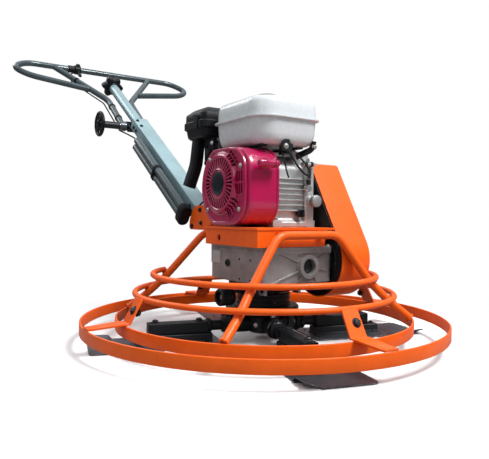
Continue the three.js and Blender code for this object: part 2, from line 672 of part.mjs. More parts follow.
function governorArm() {
  const { x, z } = GOVERNOR;
  const strip = box([x - 6, x + 6], [-101, -97.5], z);
  const boss = rod('y', 9, -106, -92.5, x, z[0]);
  return join(strip, boss);
}

function smallLever(at, reach) {
  const thickness = 4;
  const hub = rod('y', 6, 0, thickness, 0, 0);
  return join(hub, box([-4, 4], [0, thickness], [0, reach])).translate(...at);
}

function engineSwitch() {
  const { x, z } = SWITCH;
  const base = rod('y', 10, -100, -86.6, x, z, 14);
  const key = box([x - 3, x + 3], [-107, -99], [z - 9, z + 9]);
  return join(base, key);
}

function buildEngine() {
  add('crankcase', crankcase(), castGrey);
  add('cylinder_head', cylinderHead(), castGrey);
  add('fan_housing', fanHousing(), magenta);
  add('recoil_cover', recoilCover(), magenta);
  add('flywheel_fan', flywheelFan(), castGrey);
  add('crankshaft', crankshaft(), steel);
  add('starter_reel', starterReel(), blackPlastic);
  add('starter_grip', starterGrip(), magenta);
  add('fuel_tank', fuelTank(), tankWhite);
  add('fuel_cap', fuelCap(), darkSteel);
  add('carburettor', carburettor(), castGrey);
  add('air_cleaner', airCleaner(), blackPlastic);
  add('muffler', muffler(), darkSteel);
  add('oil_cap', oilCap(), blackPlastic);
  add('governor_arm', governorArm(), steel);
  add('choke_lever', smallLever([-83, 150, 508], 14), steel);
  add('fuel_valve_lever', smallLever([-55, 150.6, 462], 20), steel);
  add('engine_switch', engineSwitch(), blackPlastic);
}

// ---------------------------------------------------------------- handle
// The handle frame's +Y runs up the handle and its +Z is square to the handle's upper face.
function handleTube() {
  const { width, depth, from, to, wall } = HANDLE_BOX;
  const half = [width / 2, depth / 2];
  const outline = roundedRect([-half[0], half[0]], [-half[1], half[1]], 5);
  const length = to - from;
  const outer = slab(outline, length).rotateX(-Math.PI / 2).translate(0, from, 0);
  const inner = box([-half[0] + wall, half[0] - wall], [from - 1, to - 6], [-half[1] + wall, half[1] - wall]);
  const round = rod('y', PITCH_TUBE.r, to - 4, PITCH_TUBE.to, 0, 0, 28);
  const bore = rod('y', PITCH_TUBE.bore, to - 10, PITCH_TUBE.to + 1, 0, 0, 14);
  return cut(join(cut(outer, inner), round), bore);
}

function pitchKnob() {
  const lobes = 6;
  const steps = lobes * 6;
  const outline = Array.from({ length: steps }, (_, i) => {
    const angle = (i / steps) * Math.PI * 2;
    const r = 38 + 6 * Math.cos(lobes * angle);
    return [r * Math.cos(angle), r * Math.sin(angle)];
  });
  const star = slab(polygon(outline), 32).rotateX(-Math.PI / 2).translate(0, PITCH_TUBE.to + 8, 0);
  const sleeve = rod('y', 23, PITCH_TUBE.to + 0.6, PITCH_TUBE.to + 10, 0, 0);
  return cut(join(star, sleeve), rod('y', 8.4, PITCH_TUBE.to, PITCH_TUBE.to + 26, 0, 0, 14));
}

// The bar frame's origin is on the tilt axis, with +Y up the bar.
function handlebar() {
  const corner = BAR_TOP - 60;
  const loop = [[-104, 286, 0], [-330, 346, 0], [-378, corner, 0], [-318, BAR_TOP, 0],
    [318, BAR_TOP, 0], [378, corner, 0], [330, 346, 0], [104, 286, 0]];
  const bar = tubeAlong(roundedPath(loop, 38), BAR_TUBE_R, 44);
  const arms = [-1, 1].map((side) => {
    const line = [[side * 46, 2, 0], [side * 46, 205, 0], [side * 207, BAR_TOP - 4, 0]];
    return tubeAlong(roundedPath(line, 30), BAR_TUBE_R, 8);
  });
  const eyes = [-46.5, 46.5].map((middle) => rod('x', 18, middle - 10.5, middle + 10.5, 0, 0));
  const bore = rod('x', 8.5, -70, 70, 0, 0, 14);
  return cut(join(bar, ...arms, ...eyes), bore);
}

function pivotAxle() {
  const { s, n, r } = PIVOT;
  const axle = rod('x', r, -128, 70, s, n, 14);
  const spacer = rod('x', 13, -126, -58, s, n, 14);
  const nut = rod('x', 13, 57.8, 68, s, n, 6);
  const saddle = box([-30, 30], [s - 26, s + 26], [n - 14, -PITCH_TUBE.r - GAP]);
  return join(axle, spacer, nut, saddle);
}

function clampWheel() {
  const { s, n } = PIVOT;
  const rim = new THREE.TorusGeometry(40, 6.5, 5, 20).rotateY(Math.PI / 2);
  const spokes = [0, 1, 2].map((i) => box([-4, 4], [-5, 5], [-40, 40]).rotateX((i * Math.PI) / 3));
  const hub = rod('x', 14, -10, 9, 0, 0, 14);
  return cut(join(rim, hub, ...spokes), rod('x', 8.4, 0, 12, 0, 0, 14)).translate(-135, s, n);
}

function throttleLever() {
  const ring = cut(rod('x', 19, -12, 12, 0, 0), rod('x', BAR_TUBE_R + GAP, -14, 14, 0, 0, 14));
  const paddle = box([-7, 7], [-62, -16], [-4, 4]);
  return join(ring, paddle).translate(-112, BAR_TOP, 0);
}

// Two stowed lifting tubes tied by a band, with one rubber foot over their lower ends.
function liftPole() {
  const { x, from, to, r } = LIFT_POLE;
  const tubes = [3, -23].map((n) => rod('y', r, from, to, x, n, 14));
  const band = slab(roundedRect([x - 15, x + 15], [-38, 18], 14), 10).rotateX(-Math.PI / 2);
  const foot = slab(roundedRect([x - 18, x + 18], [-20, 44], 17), 30).rotateX(-Math.PI / 2);
  return join(...tubes, band.translate(0, 270, 0), foot.translate(0, 22, 0));
}

function buildHandle() {
  const handle = frameAt(machine, [HANDLE_X, HANDLE_BASE.y, HANDLE_BASE.z], HANDLE_TILT);
  add('handle_tube', handleTube(), bluePaint, handle);
  add('pitch_screw', rod('y', 8, 16, PITCH_TUBE.to + 24, 0, 0, 14), steel, handle);
  add('pitch_knob', pitchKnob(), blackPlastic, handle);
  add('pivot_axle', pivotAxle(), darkSteel, handle);
  add('clamp_wheel', clampWheel(), blackPlastic, handle);
  add('lift_pole', liftPole(), slatePaint, handle);
  const bar = frameAt(handle, [0, PIVOT.s, PIVOT.n], BAR_TILT);
  add('handlebar', handlebar(), slatePaint, bar);
  add('throttle_lever', throttleLever(), blackPlastic, bar);
}

buildGuard();
add('engine_deck', engineDeck(), orange);
add('handle_bracket', handleBracket(), orange);
buildGearbox();
buildDrive();
buildRotor();
buildEngine();
buildHandle();

export default group;
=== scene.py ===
"""Visual model of a walk-behind power trowel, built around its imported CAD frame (Blender 4.5)."""
import math

import bmesh
import bpy
from mathutils import Matrix, Vector


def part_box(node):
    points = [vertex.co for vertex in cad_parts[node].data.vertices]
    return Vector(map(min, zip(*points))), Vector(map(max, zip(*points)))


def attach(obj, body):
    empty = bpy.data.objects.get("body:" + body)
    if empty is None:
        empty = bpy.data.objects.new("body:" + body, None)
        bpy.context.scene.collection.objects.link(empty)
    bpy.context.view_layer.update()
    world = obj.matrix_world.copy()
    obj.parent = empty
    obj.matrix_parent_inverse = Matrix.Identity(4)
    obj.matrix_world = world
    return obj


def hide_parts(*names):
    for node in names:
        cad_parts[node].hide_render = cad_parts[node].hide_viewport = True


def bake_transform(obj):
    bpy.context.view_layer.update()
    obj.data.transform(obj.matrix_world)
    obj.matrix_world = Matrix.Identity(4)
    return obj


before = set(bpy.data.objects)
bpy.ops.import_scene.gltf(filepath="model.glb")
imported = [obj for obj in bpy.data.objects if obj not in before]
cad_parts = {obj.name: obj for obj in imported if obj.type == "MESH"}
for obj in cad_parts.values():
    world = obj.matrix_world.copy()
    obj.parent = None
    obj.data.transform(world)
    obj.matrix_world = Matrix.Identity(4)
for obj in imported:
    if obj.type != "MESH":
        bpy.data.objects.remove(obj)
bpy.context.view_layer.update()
shaft_low, shaft_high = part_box("output_shaft")

# Every shape is drawn in millimetres from the rotor axis at floor level; TO_ROW brings it to the row frame.
ROTOR_Y = (shaft_low.y + shaft_high.y) / 2
TO_ROW = Matrix.Translation((0, ROTOR_Y, 0)) @ Matrix.Scale(0.001, 4)
X, Y, Z = Vector((1, 0, 0)), Vector((0, 1, 0)), Vector((0, 0, 1))

OUTER_RING_R, OUTER_RING_Z = 460, (33, 62)
INNER_RING_R, INNER_RING_Z = 376, (38, 66.5)
LOWER_ROD, UPPER_ROD, ROD_R = (328, 123), (284, 168), 7
HOOP_R = 10
HOOP_LEANS = (47, 44, 41)
HOOP_BAR_X, HOOP_BAR_Z = 88, 273
HOOP_FRONT_Y, HOOP_REAR_Y = -182, 156
UPPER_ROD_OPEN = 39.5
STRAP_TURN = -3
DECK_X, DECK_Y, DECK_Z = (-130, 68), (-160, 77), (244.6, 289.5)
DECK_SHELF_X = 99
HANDLE_X = -30
CHEEK_Y, CHEEK_REACH, CHEEK_SHEET = (150, 288), 43.4, 5
WORM_Y, WORM_Z = -84, 205
CRANK_Z = 395.5
GEARBOX_X, GEARBOX_Y, GEARBOX_Z = (-110, 100), (-150, 86), (158, 236)
PORT_X, PORT_Z = 22, 197
YOKE_PIN_R, YOKE_PIN_Y, YOKE_PIN_Z = 7, -72, 135
ARM_ANGLES = (-105, -15, 75, 165)
ARM_Z, ARM_R, ARM_END = 40, 13, 300
HUB_BORE_R = 15.4
BLADE_END, BLADE_HALF = 440, 78
GUARD_X = (106.6, 203)


# ---------------------------------------------------------------- shapes
def place(axis, t, u, v):
    return {"x": (t, u, v), "y": (u, t, v), "z": (u, v, t)}[axis]


def shape(verts, faces):
    """A closed shell from points and faces, doubles merged and normals outward."""
    mesh = bpy.data.meshes.new("shape")
    mesh.from_pydata([tuple(v) for v in verts], [], faces)
    bm = bmesh.new()
    bm.from_mesh(mesh)
    bmesh.ops.remove_doubles(bm, verts=bm.verts, dist=1e-3)
    bmesh.ops.delete(bm, geom=[e for e in bm.edges if not e.link_faces], context="EDGES")
    bmesh.ops.recalc_face_normals(bm, faces=bm.faces)
    bm.to_mesh(mesh)
    bm.free()
    made = bpy.data.objects.new("shape", mesh)
    bpy.context.scene.collection.objects.link(made)
    return made


def loft(rings, closed=False):
    """Skin over rings of equal length, with flat ends unless it closes on itself."""
    count, size = len(rings), len(rings[0])
    faces = []
    for i in range(count if closed else count - 1):
        a, b = i * size, (i + 1) % count * size
        faces += [(a + j, a + (j + 1) % size, b + (j + 1) % size, b + j) for j in range(size)]
    if not closed:
        faces += [tuple(range(size)), tuple(range((count - 1) * size, count * size))]
    return shape([p for ring in rings for p in ring], faces)


def circle(u, v, r, sides=48):
    return [(u + r * math.cos(i * math.tau / sides), v + r * math.sin(i * math.tau / sides))
            for i in range(sides)]


def corners(points, radii, steps=6):
    """A 2-D outline with each corner rounded to its radius."""
    count = len(points)
    radii = radii if isinstance(radii, (list, tuple)) else [radii] * count
    outline = []
    for i, r in enumerate(radii):
        here, before, after = (Vector(points[k % count]).to_2d() for k in (i, i - 1, i + 1))
        to_before, to_after = (before - here), (after - here)
        half = to_before.angle(to_after) / 2
        reach = r / math.tan(half) if r > 0 else 0
        if reach < 1e-6 or half > 1.55:
            outline.append(tuple(here))
            continue
        reach = min(reach, to_before.length * 0.499, to_after.length * 0.499)
        a, b = here + to_before.normalized() * reach, here + to_after.normalized() * reach
        middle = (to_before.normalized() + to_after.normalized()).normalized()
        centre = here + middle * (reach / math.cos(half))
        start, turn = (a - centre), (a - centre).angle_signed(b - centre)
        for k in range(steps + 1):
            arm = start.copy()
            arm.rotate(Matrix.Rotation(-turn * k / steps, 2))
            outline.append(tuple(centre + arm))
    return outline


def rect(us, vs, r=0, steps=6):
    points = [(us[0], vs[0]), (us[1], vs[0]), (us[1], vs[1]), (us[0], vs[1])]
    return corners(points, r, steps) if r else points


def wrap(circles, sides=72):
    """The outline of a belt pulled tight round circles (u, v, r)."""
    cloud = sorted(p for u, v, r in circles for p in circle(u, v, r, sides))

    def chain(points):
        kept = []
        for p in points:
            while len(kept) > 1 and ((kept[-1][0] - kept[-2][0]) * (p[1] - kept[-2][1])
                                     - (kept[-1][1] - kept[-2][1]) * (p[0] - kept[-2][0])) <= 1e-6:
                kept.pop()
            kept.append(p)
        return kept[:-1]
    return chain(cloud) + chain(cloud[::-1])


def prism(axis, outline, low, high):
    return loft([[place(axis, t, u, v) for u, v in outline] for t in (low, high)])


def block(xs, ys, zs):
    return prism("z", rect(xs, ys), *zs)


def rod(axis, r, low, high, u, v, sides=48):
    return prism(axis, circle(u, v, r, sides), low, high)


def turned(axis, profile, u=0, v=0, sides=72):
    """The profile of (radius, place along the axis) turned about the axis."""
    rings = [[place(axis, t, u + r * math.cos(a), v + r * math.sin(a)) for r, t in profile]
             for a in (i * math.tau / sides for i in range(sides))]
    return loft(rings, closed=True)


def solid(axis, profile, u=0, v=0, sides=72):
    """Turned like turned(), with both ends of the profile carried in to the axis."""
    return turned(axis, [(0, profile[0][1]), *profile, (0, profile[-1][1])], u, v, sides)


def tiers(us, vs, r, layers):
    """Rounded rectangles stacked up Z, each given as (height, inset)."""
    return loft([[(u, v, z) for u, v in rect((us[0] + k, us[1] - k), (vs[0] + k, vs[1] - k), r)]
                 for z, k in layers])


def bent(points, bend, steps=7):
    """A 3-D path with its inner corners rounded."""
    points = [Vector(p) for p in points]
    line = [points[0]]
    for before, here, after in zip(points, points[1:], points[2:]):
        a, b = here + (before - here).normalized() * bend, here + (after - here).normalized() * bend
        line += [a.lerp(here, t).lerp(here.lerp(b, t), t) for t in (k / steps for k in range(steps + 1))]
    return line + [points[-1]]


def pipe(line, r, sides=16, closed=False, section=None, up=None):
    """A section, a circle unless given, swept along a path without twisting."""
    line = [Vector(p) for p in line]
    section = section or circle(0, 0, r, sides)
    count = len(line)
    rings, side = [], None
    for i, here in enumerate(line):
        after = line[(i + 1) % count] if closed or i < count - 1 else here
        before = line[i - 1] if closed or i else here
        ahead = (after - before).normalized()
        side = side or (up or (Z if abs(ahead.z) < 0.9 else X)).cross(ahead)
        side = (side - ahead * side.dot(ahead)).normalized()
        lift = ahead.cross(side)
        rings.append([here + side * u + lift * v for u, v in section])
    return loft(rings, closed)


def ring_path(r, z, sides=160):
    return [(u, v, z) for u, v in circle(0, 0, r, sides)]


def gather(*shapes):
    """Separate shells in one mesh."""
    verts, faces = [], []
    for one in shapes:
        base = len(verts)
        verts += [v.co.copy() for v in one.data.vertices]
        faces += [tuple(base + k for k in p.vertices) for p in one.data.polygons]
        bpy.data.objects.remove(one)
    mesh = bpy.data.meshes.new("shape")
    mesh.from_pydata(verts, [], faces)
    made = bpy.data.objects.new("shape", mesh)
    bpy.context.scene.collection.objects.link(made)
    return made


def carve(base, add=(), cut=()):
    """The base with shapes welded on, then others cut away."""
    steps = [(one, "UNION") for one in add] + [(one, "DIFFERENCE") for one in cut]
    for tool, operation in steps:
        step = base.modifiers.new("step", "BOOLEAN")
        step.operation, step.solver, step.object = operation, "MANIFOLD", tool
    bpy.context.view_layer.update()
    mesh = bpy.data.meshes.new_from_object(base.evaluated_get(bpy.context.evaluated_depsgraph_get()))
    base.modifiers.clear()
    base.data = mesh
    for tool, _ in steps:
        bpy.data.objects.remove(tool)
    return base


def moved(one, matrix):
    one.data.transform(matrix)
    return one


def turn_about(axis, degrees):
    return Matrix.Rotation(math.radians(degrees), 4, axis)


def aimed(one, at, direction):
    """Moves a shape drawn up +Z from the origin to stand at a point along a direction."""
    return moved(one, Matrix.Translation(at) @ Z.rotation_difference(Vector(direction)).to_matrix().to_4x4())


def bolt(at, direction, size=6, washer=True):
    """A hexagon head with chamfered corners on a washer, standing on a surface."""
    base = 1.4 if washer else 0
    across = size * 0.96
    angles = [k * math.tau / 6 + 0.3 for k in range(6)]
    hexagon = [[(r * math.cos(a), r * math.sin(a), z) for a in angles]
               for r, z in ((across, base), (across, base + size * 0.55), (across * 0.8, base + size * 0.68))]
    parts = [loft(hexagon)]
    if washer:
        parts.append(rod("z", size * 1.3, 0, 1.5, 0, 0, 24))
    parts.append(solid("z", [(size * 0.6, base + size * 0.6), (size * 0.5, base + size * 0.74)], sides=16))
    return aimed(gather(*parts), at, direction)


def piece(name, one, body, look, replaces=(), bevel=0.0, angle=32):
    """Finishes a shape as a visible piece that rides on a CAD body."""
    one.name, one.data.name = name, name
    moved(one, TO_ROW)
    one.data.materials.clear()
    one.data.materials.append(LOOKS[look])
    for face in one.data.polygons:
        face.use_smooth = True
    one.data.set_sharp_from_angle(angle=math.radians(angle))
    if bevel:
        edge = one.modifiers.new("edge", "BEVEL")
        edge.width, edge.segments = bevel / 1000, 2
        edge.limit_method, edge.angle_limit = "ANGLE", math.radians(angle)
        edge.harden_normals = True
    if isinstance(body, tuple):
        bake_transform(one)
    else:
        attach(one, body)
    if replaces:
        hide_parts(*replaces)


# ---------------------------------------------------------------- looks
# Colours darker than BLACK_BELOW reflect less, or they would look grey.
BLACK_BELOW, BLACK_GLOSS = 0.05, 0.22
EDGE_ROUND = 0.0008


def surface(name, colour, rough, metal=0.0, coat=0.0, tone=0.1, blotch=9.0, grain=1500.0, bump=0.1, grime_and_shade=0.5,
            wear=None, worn=0.5, dust=0.0, brushed=None, gloss=0.5):
    """A paint, metal or plastic with uneven tone, grime and painted shade darkening its corners, worn edges
    and a fine-grained bump.
    """
    material = bpy.data.materials.new(name)
    material.use_nodes = True
    tree = material.node_tree
    shader = tree.nodes["Principled BSDF"]

    def feed(socket, value):
        if isinstance(value, bpy.types.NodeSocket):
            tree.links.new(value, socket)
        elif isinstance(value, (tuple, list)) and len(value) == 3 and socket.type == "RGBA":
            socket.default_value = (*value, 1)
        else:
            socket.default_value = value

    def node(kind, *values, **inputs):
        made = tree.nodes.new("ShaderNode" + kind)
        for key, value in inputs.items():
            if key in made.inputs.keys():
                feed(made.inputs[key], value)
            else:
                setattr(made, key, value)
        for socket, value in zip(made.inputs, values):
            feed(socket, value)
        return made

    def math_node(operation, a, b=0.0):
        return node("Math", a, b, operation=operation, use_clamp=True).outputs[0]

    def noise(scale, detail=3.0, at=None):
        return node("TexNoise", Vector=at or where, Scale=scale, Detail=detail, Roughness=0.6).outputs["Fac"]

    def band(value, low, high):
        return node("MapRange", value, low, high, 0.0, 1.0, interpolation_type="SMOOTHSTEP").outputs[0]

    def mix(share, a, b):
        made = tree.nodes.new("ShaderNodeMix")
        made.data_type = "RGBA"
        for index, value in ((0, share), (6, a), (7, b)):
            feed(made.inputs[index], value)
        return made.outputs[2]

    where = node("TexCoord").outputs["Object"]
    grain_at = where
    if brushed:
        grain_at = node("Mapping", Vector=where, Scale=brushed).outputs[0]
    broad = noise(blotch, 5.0)
    low = tuple(c * (1 - tone) for c in colour)
    high = tuple(min(1.0, c * (1 + tone)) for c in colour)
    paint = mix(band(broad, 0.3, 0.7), low, high)
    fine = noise(grain, 2.0, grain_at)
    speckle = noise(260.0, 3.0, grain_at)
    paint = mix(math_node("MULTIPLY", band(speckle, 0.35, 0.75), tone * 0.6), paint,
                tuple(c * 0.55 for c in colour))
    rounded = node("Bevel", Radius=EDGE_ROUND).outputs[0]
    rough_now = math_node("ADD", rough - 0.06, math_node("MULTIPLY", noise(70.0, 4.0), 0.14))
    # Painted shade: where ambient occlusion finds corners, creases and recesses, the colour is darkened
    # towards a near-black brown and made rougher. This is partly grime and partly painted shade.
    if grime_and_shade:
        corner = node("AmbientOcclusion", Distance=0.014, samples=3).outputs["AO"]
        shade_and_grime_share = math_node("MULTIPLY", band(math_node("SUBTRACT", 1.0, corner), 0.35, 0.95), grime_and_shade)
        paint = mix(shade_and_grime_share, paint, (0.045, 0.036, 0.03))
        rough_now = math_node("ADD", rough_now, math_node("MULTIPLY", shade_and_grime_share, 0.3))
    if wear:
        wide = node("Bevel", Radius=0.0022).outputs[0]
        flat = node("NewGeometry").outputs["Normal"]
        meet = node("VectorMath", wide, flat, operation="DOT_PRODUCT").outputs["Value"]
        chipped = math_node("MULTIPLY", band(math_node("SUBTRACT", 1.0, meet), 0.012, 0.09),
                            band(noise(48.0, 6.0), 0.68 - worn * 0.3, 0.78 - worn * 0.2))
        paint = mix(chipped, paint, wear)
    if dust:
        upward = node("SeparateXYZ", node("NewGeometry").outputs["Normal"]).outputs["Z"]
        patches = math_node("MULTIPLY", band(upward, 0.35, 0.95), band(noise(26.0, 5.0), 0.4, 0.75))
        settled = math_node("MULTIPLY", patches, dust)
        paint = mix(settled, paint, (0.52, 0.48, 0.43))
        rough_now = math_node("ADD", rough_now, math_node("MULTIPLY", settled, 0.35))
    relief = node("Bump", Strength=bump, Distance=0.0006, Height=fine, Normal=rounded).outputs[0]
    feed(shader.inputs["Base Color"], paint)
    feed(shader.inputs["Roughness"], rough_now)
    feed(shader.inputs["Metallic"], metal)
    feed(shader.inputs["Coat Weight"], coat)
    feed(shader.inputs["Coat Roughness"], 0.08)
    feed(shader.inputs["Specular IOR Level"], BLACK_GLOSS if max(colour) < BLACK_BELOW else gloss)
    feed(shader.inputs["Normal"], relief)
    return material


STEEL_CHIP = (0.34, 0.33, 0.32)
# The grime amount of each look also sets how strongly painted shade darkens its corners.
LOOKS = {
    "orange": surface("orange_powder_coat", (0.90, 0.118, 0.003), 0.42, coat=0.08, gloss=0.3, tone=0.09,
                      grain=900, bump=0.12, wear=(0.30, 0.12, 0.07), worn=0.25, dust=0.10, grime_and_shade=0.35),
    "cast": surface("cast_aluminium", (0.36, 0.365, 0.365), 0.48, metal=0.75, tone=0.2, blotch=16, grain=1100,
                    bump=0.45, wear=(0.75, 0.75, 0.74), worn=0.6, grime_and_shade=0.75),
    "engine_cast": surface("light_cast_aluminium", (0.66, 0.67, 0.67), 0.42, metal=0.7, tone=0.12, blotch=20,
                           grain=1300, bump=0.35, wear=(0.85, 0.85, 0.85), worn=0.6, grime_and_shade=0.7),
    "steel": surface("ground_steel", (0.46, 0.465, 0.47), 0.32, metal=0.95, tone=0.14, blotch=14, grain=700,
                     bump=0.15, brushed=(0.15, 1, 1), grime_and_shade=0.4),
    "blade": surface("blade_steel", (0.15, 0.165, 0.19), 0.4, metal=0.85, tone=0.25, blotch=10, grain=500,
                     bump=0.2, brushed=(1, 0.2, 1), wear=(0.45, 0.46, 0.48), worn=0.7, grime_and_shade=0.3),
    "zinc": surface("zinc_plated_steel", (0.62, 0.62, 0.6), 0.3, metal=0.95, tone=0.08, grain=1200,
                    bump=0.1, grime_and_shade=0.5),
    "bright": surface("bright_plated_steel", (0.85, 0.86, 0.85), 0.22, metal=0.95, tone=0.05,
                      bump=0.05, grime_and_shade=0.3),
    "dark_steel": surface("black_oxide_steel", (0.035, 0.038, 0.042), 0.42, metal=0.6, tone=0.2, grain=1300,
                          bump=0.25, wear=STEEL_CHIP, worn=0.4, grime_and_shade=0.3),
    "black_paint": surface("black_enamel", (0.007, 0.009, 0.011), 0.38, coat=0.08, tone=0.3, grain=900,
                           bump=0.22, wear=STEEL_CHIP, worn=0.3, dust=0.04, grime_and_shade=0.2),
    "plastic": surface("black_moulded_plastic", (0.007, 0.008, 0.010), 0.42, tone=0.3, grain=1900, bump=0.28,
                       dust=0.05, grime_and_shade=0.2),
    "rubber": surface("black_rubber", (0.008, 0.008, 0.009), 0.68, tone=0.2, grain=1200, bump=0.4, grime_and_shade=0.2),
    "magenta": surface("magenta_enamel", (0.42, 0.005, 0.075), 0.22, coat=0.5, tone=0.08, grain=700,
                       bump=0.03, wear=(0.62, 0.08, 0.25), worn=0.1, grime_and_shade=0.35),
    "white": surface("white_enamel", (0.66, 0.69, 0.71), 0.26, coat=0.35, tone=0.03, blotch=5, grain=700,
                     bump=0.03, grime_and_shade=0.2),
    "blue_grey": surface("blue_grey_enamel", (0.29, 0.43, 0.465), 0.3, metal=0.2, coat=0.25, tone=0.12,
                         grain=900, bump=0.08, wear=(0.5, 0.52, 0.52), worn=0.3, dust=0.05, grime_and_shade=0.4),
    "slate": surface("slate_enamel", (0.060, 0.084, 0.093), 0.27, metal=0.3, coat=0.3, tone=0.2, grain=900,
                     bump=0.08, wear=(0.3, 0.32, 0.33), worn=0.25, grime_and_shade=0.25),
    "bronze": surface("gear_bronze", (0.46, 0.27, 0.10), 0.33, metal=0.95, tone=0.12, bump=0.15, grime_and_shade=0.5),
    "emblem": surface("dark_gloss_disc", (0.008, 0.011, 0.020), 0.2, coat=0.2, tone=0.15,
                      bump=0.02, grime_and_shade=0.0),
}


# ---------------------------------------------------------------- guard rings
def flat_ring(r, z):
    section = [(r - 5, z[0]), (r, z[0]), (r, z[1]), (r - 5, z[1])]
    return turned("z", corners(section, 1.6, 3), sides=180)


def weld(at, direction, r, thick):
    """A lumpy bead where a tube of radius r meets another part."""
    path = []
    for i in range(40):
        a = i * math.tau / 40
        wobble = r + thick * 0.3 * math.sin(9 * a)
        path.append((wobble * math.cos(a), wobble * math.sin(a), 0.6 * math.sin(7 * a)))
    return aimed(pipe(path, thick, 8, closed=True), at, direction)


def hoop(side, bar_y):
    """A bent tube over the machine: up from the inner ring, inside both rod rings and across."""
    clear = (ROD_R + HOOP_R) * 0.76
    legs = [(INNER_RING_R - 9, INNER_RING_Z[1] + 0.6), (LOWER_ROD[0] - clear, LOWER_ROD[1] - clear),
            (UPPER_ROD[0] - clear, UPPER_ROD[1] - clear)]
    half = [Vector((r * math.sin(math.radians(a)), side * r * math.cos(math.radians(a)), z))
            for (r, z), a in zip(legs, HOOP_LEANS)]
    half.append(Vector((HOOP_BAR_X, bar_y, HOOP_BAR_Z)))
    line = half + [Vector((-p.x, p.y, p.z)) for p in reversed(half)]
    beads = []
    for p, rod_r, rod_z in ((half[1], *LOWER_ROD), (half[2], *UPPER_ROD)):
        for sign in (1, -1):
            at = Vector((sign * p.x, p.y, p.z))
            outward = Vector((at.x, at.y, 0)).normalized()
            rod_at = outward * rod_r + Z * rod_z
            touch = rod_at.lerp(at, ROD_R / (ROD_R + HOOP_R))
            beads.append(weld(touch, outward.cross(Z), 5.5, 3.2))
    rise = half[1] - half[0]
    for sign in (1, -1):
        foot = Vector((sign * half[0].x, *half[0].yz))
        beads.append(weld(foot, (sign * rise.x, *rise.yz), HOOP_R - 0.6, 2.4))
    return gather(pipe(bent(line, 26), HOOP_R, 24), *beads)


def upper_rod():
    """Open on the operator's side, with its ends welded to the rear hoop's legs."""
    steps = 150
    low, sweep = 90 + UPPER_ROD_OPEN, 360 - 2 * UPPER_ROD_OPEN
    angles = [math.radians(low + sweep * i / steps) for i in range(steps + 1)]
    r, z = UPPER_ROD
    return pipe([(r * math.cos(a), r * math.sin(a), z) for a in angles], ROD_R, 16)


def ring_bracket():
    """A strap drawn along +X that steps down from the lower rod, over the inner ring, to the outer one."""
    line = [(LOWER_ROD[0] + 7, 124), (INNER_RING_R - 11, INNER_RING_Z[1] + 3.5),
            (INNER_RING_R + 7, INNER_RING_Z[1] + 3.2), (OUTER_RING_R - 14, OUTER_RING_Z[1] + 3.0),
            (OUTER_RING_R - 1.5, OUTER_RING_Z[1] + 3.0)]
    widths = [42, 44, 44, 38, 36]
    rings = []
    for i, (r, z) in enumerate(line):
        before, after = line[max(i - 1, 0)], line[min(i + 1, len(line) - 1)]
        lean = Vector((after[0] - before[0], after[1] - before[1])).normalized()
        up = Vector((-lean.y, lean.x)) * 2.4
        half = widths[i] / 2
        rings.append([(r + up.x, half, z + up.y), (r - up.x, half, z - up.y),
                      (r - up.x, -half, z - up.y), (r + up.x, -half, z + up.y)])
    return loft(rings)


def build_guard():
    piece("outer_ring", flat_ring(OUTER_RING_R, OUTER_RING_Z), "machine", "orange", ["outer_guard_ring"])
    piece("inner_ring", flat_ring(INNER_RING_R, INNER_RING_Z), "machine", "orange", ["inner_guard_ring"])
    piece("lower_rod", pipe(ring_path(*LOWER_ROD), ROD_R, 16, True), "machine", "orange", ["lower_rod_ring"])
    piece("upper_rod", upper_rod(), "machine", "orange", ["upper_rod_ring"])
    piece("hoop_front", hoop(-1, HOOP_FRONT_Y), "machine", "orange", ["front_hoop"])
    piece("hoop_rear", hoop(1, HOOP_REAR_Y), "machine", "orange", ["rear_hoop"])
    lugs = [block((a - 8, a + 8), (-174, -159), (266, 280)) for a in (-70, 50)]
    lugs += [block((a - 8, a + 8), (148, 164), (281, 285)) for a in (-56, -4)]
    piece("hoop_lugs", gather(*lugs), "machine", "orange", bevel=1.2)
    fasteners = []
    slope = Vector((58, 0, 31)).normalized()
    for place_name, degrees in (("front", -90), ("right", 0), ("rear", 90), ("left", 180)):
        turn = turn_about("Z", degrees + STRAP_TURN)
        piece(f"bracket_{place_name}", moved(ring_bracket(), turn), "machine", "orange",
              [f"ring_bracket_{place_name}"], bevel=0.9)
        fasteners.append(bolt(turn @ Vector((351, 6, 98)), turn.to_3x3() @ slope, 8.5))
        fasteners.append(bolt(turn @ Vector((345, 16, 94)), turn.to_3x3() @ -slope, 7))
    piece("bracket_bolts", gather(*fasteners), "machine", "dark_steel")


# ---------------------------------------------------------------- deck, handle bracket
def engine_deck():
    x, y, z = DECK_X, DECK_Y, DECK_Z
    plate = block((x[0] - 3, DECK_SHELF_X), (y[0] - 2, y[1]), (z[1] - 5.5, z[1]))
    skirt = block((x[0], x[0] + 5), y, (z[0], z[1] - 3))
    ends = [block(x, (a, a + 5), (z[0], z[1] - 3)) for a in (y[0], y[1] - 5)]
    tongue = block((HANDLE_X - 38, HANDLE_X + 38), (y[1] - 6, CHEEK_Y[1]), (z[1] - 5, z[1]))
    ledge = block((-40, 94), (y[1] - 1, 100), (z[1] - 5, z[1]))
    slots = [prism("z", rect((a - 9, a + 9), (b - 4.5, b + 4.5), 4.4), z[1] - 7, z[1] + 1)
             for a, b in ((-100, 58), (-100, -128))]
    dowel = rod("x", 8, x[0] - 2, x[0] + 7, 10, 262, 24)
    return carve(plate, [skirt, *ends, tongue, ledge], [*slots, dowel])


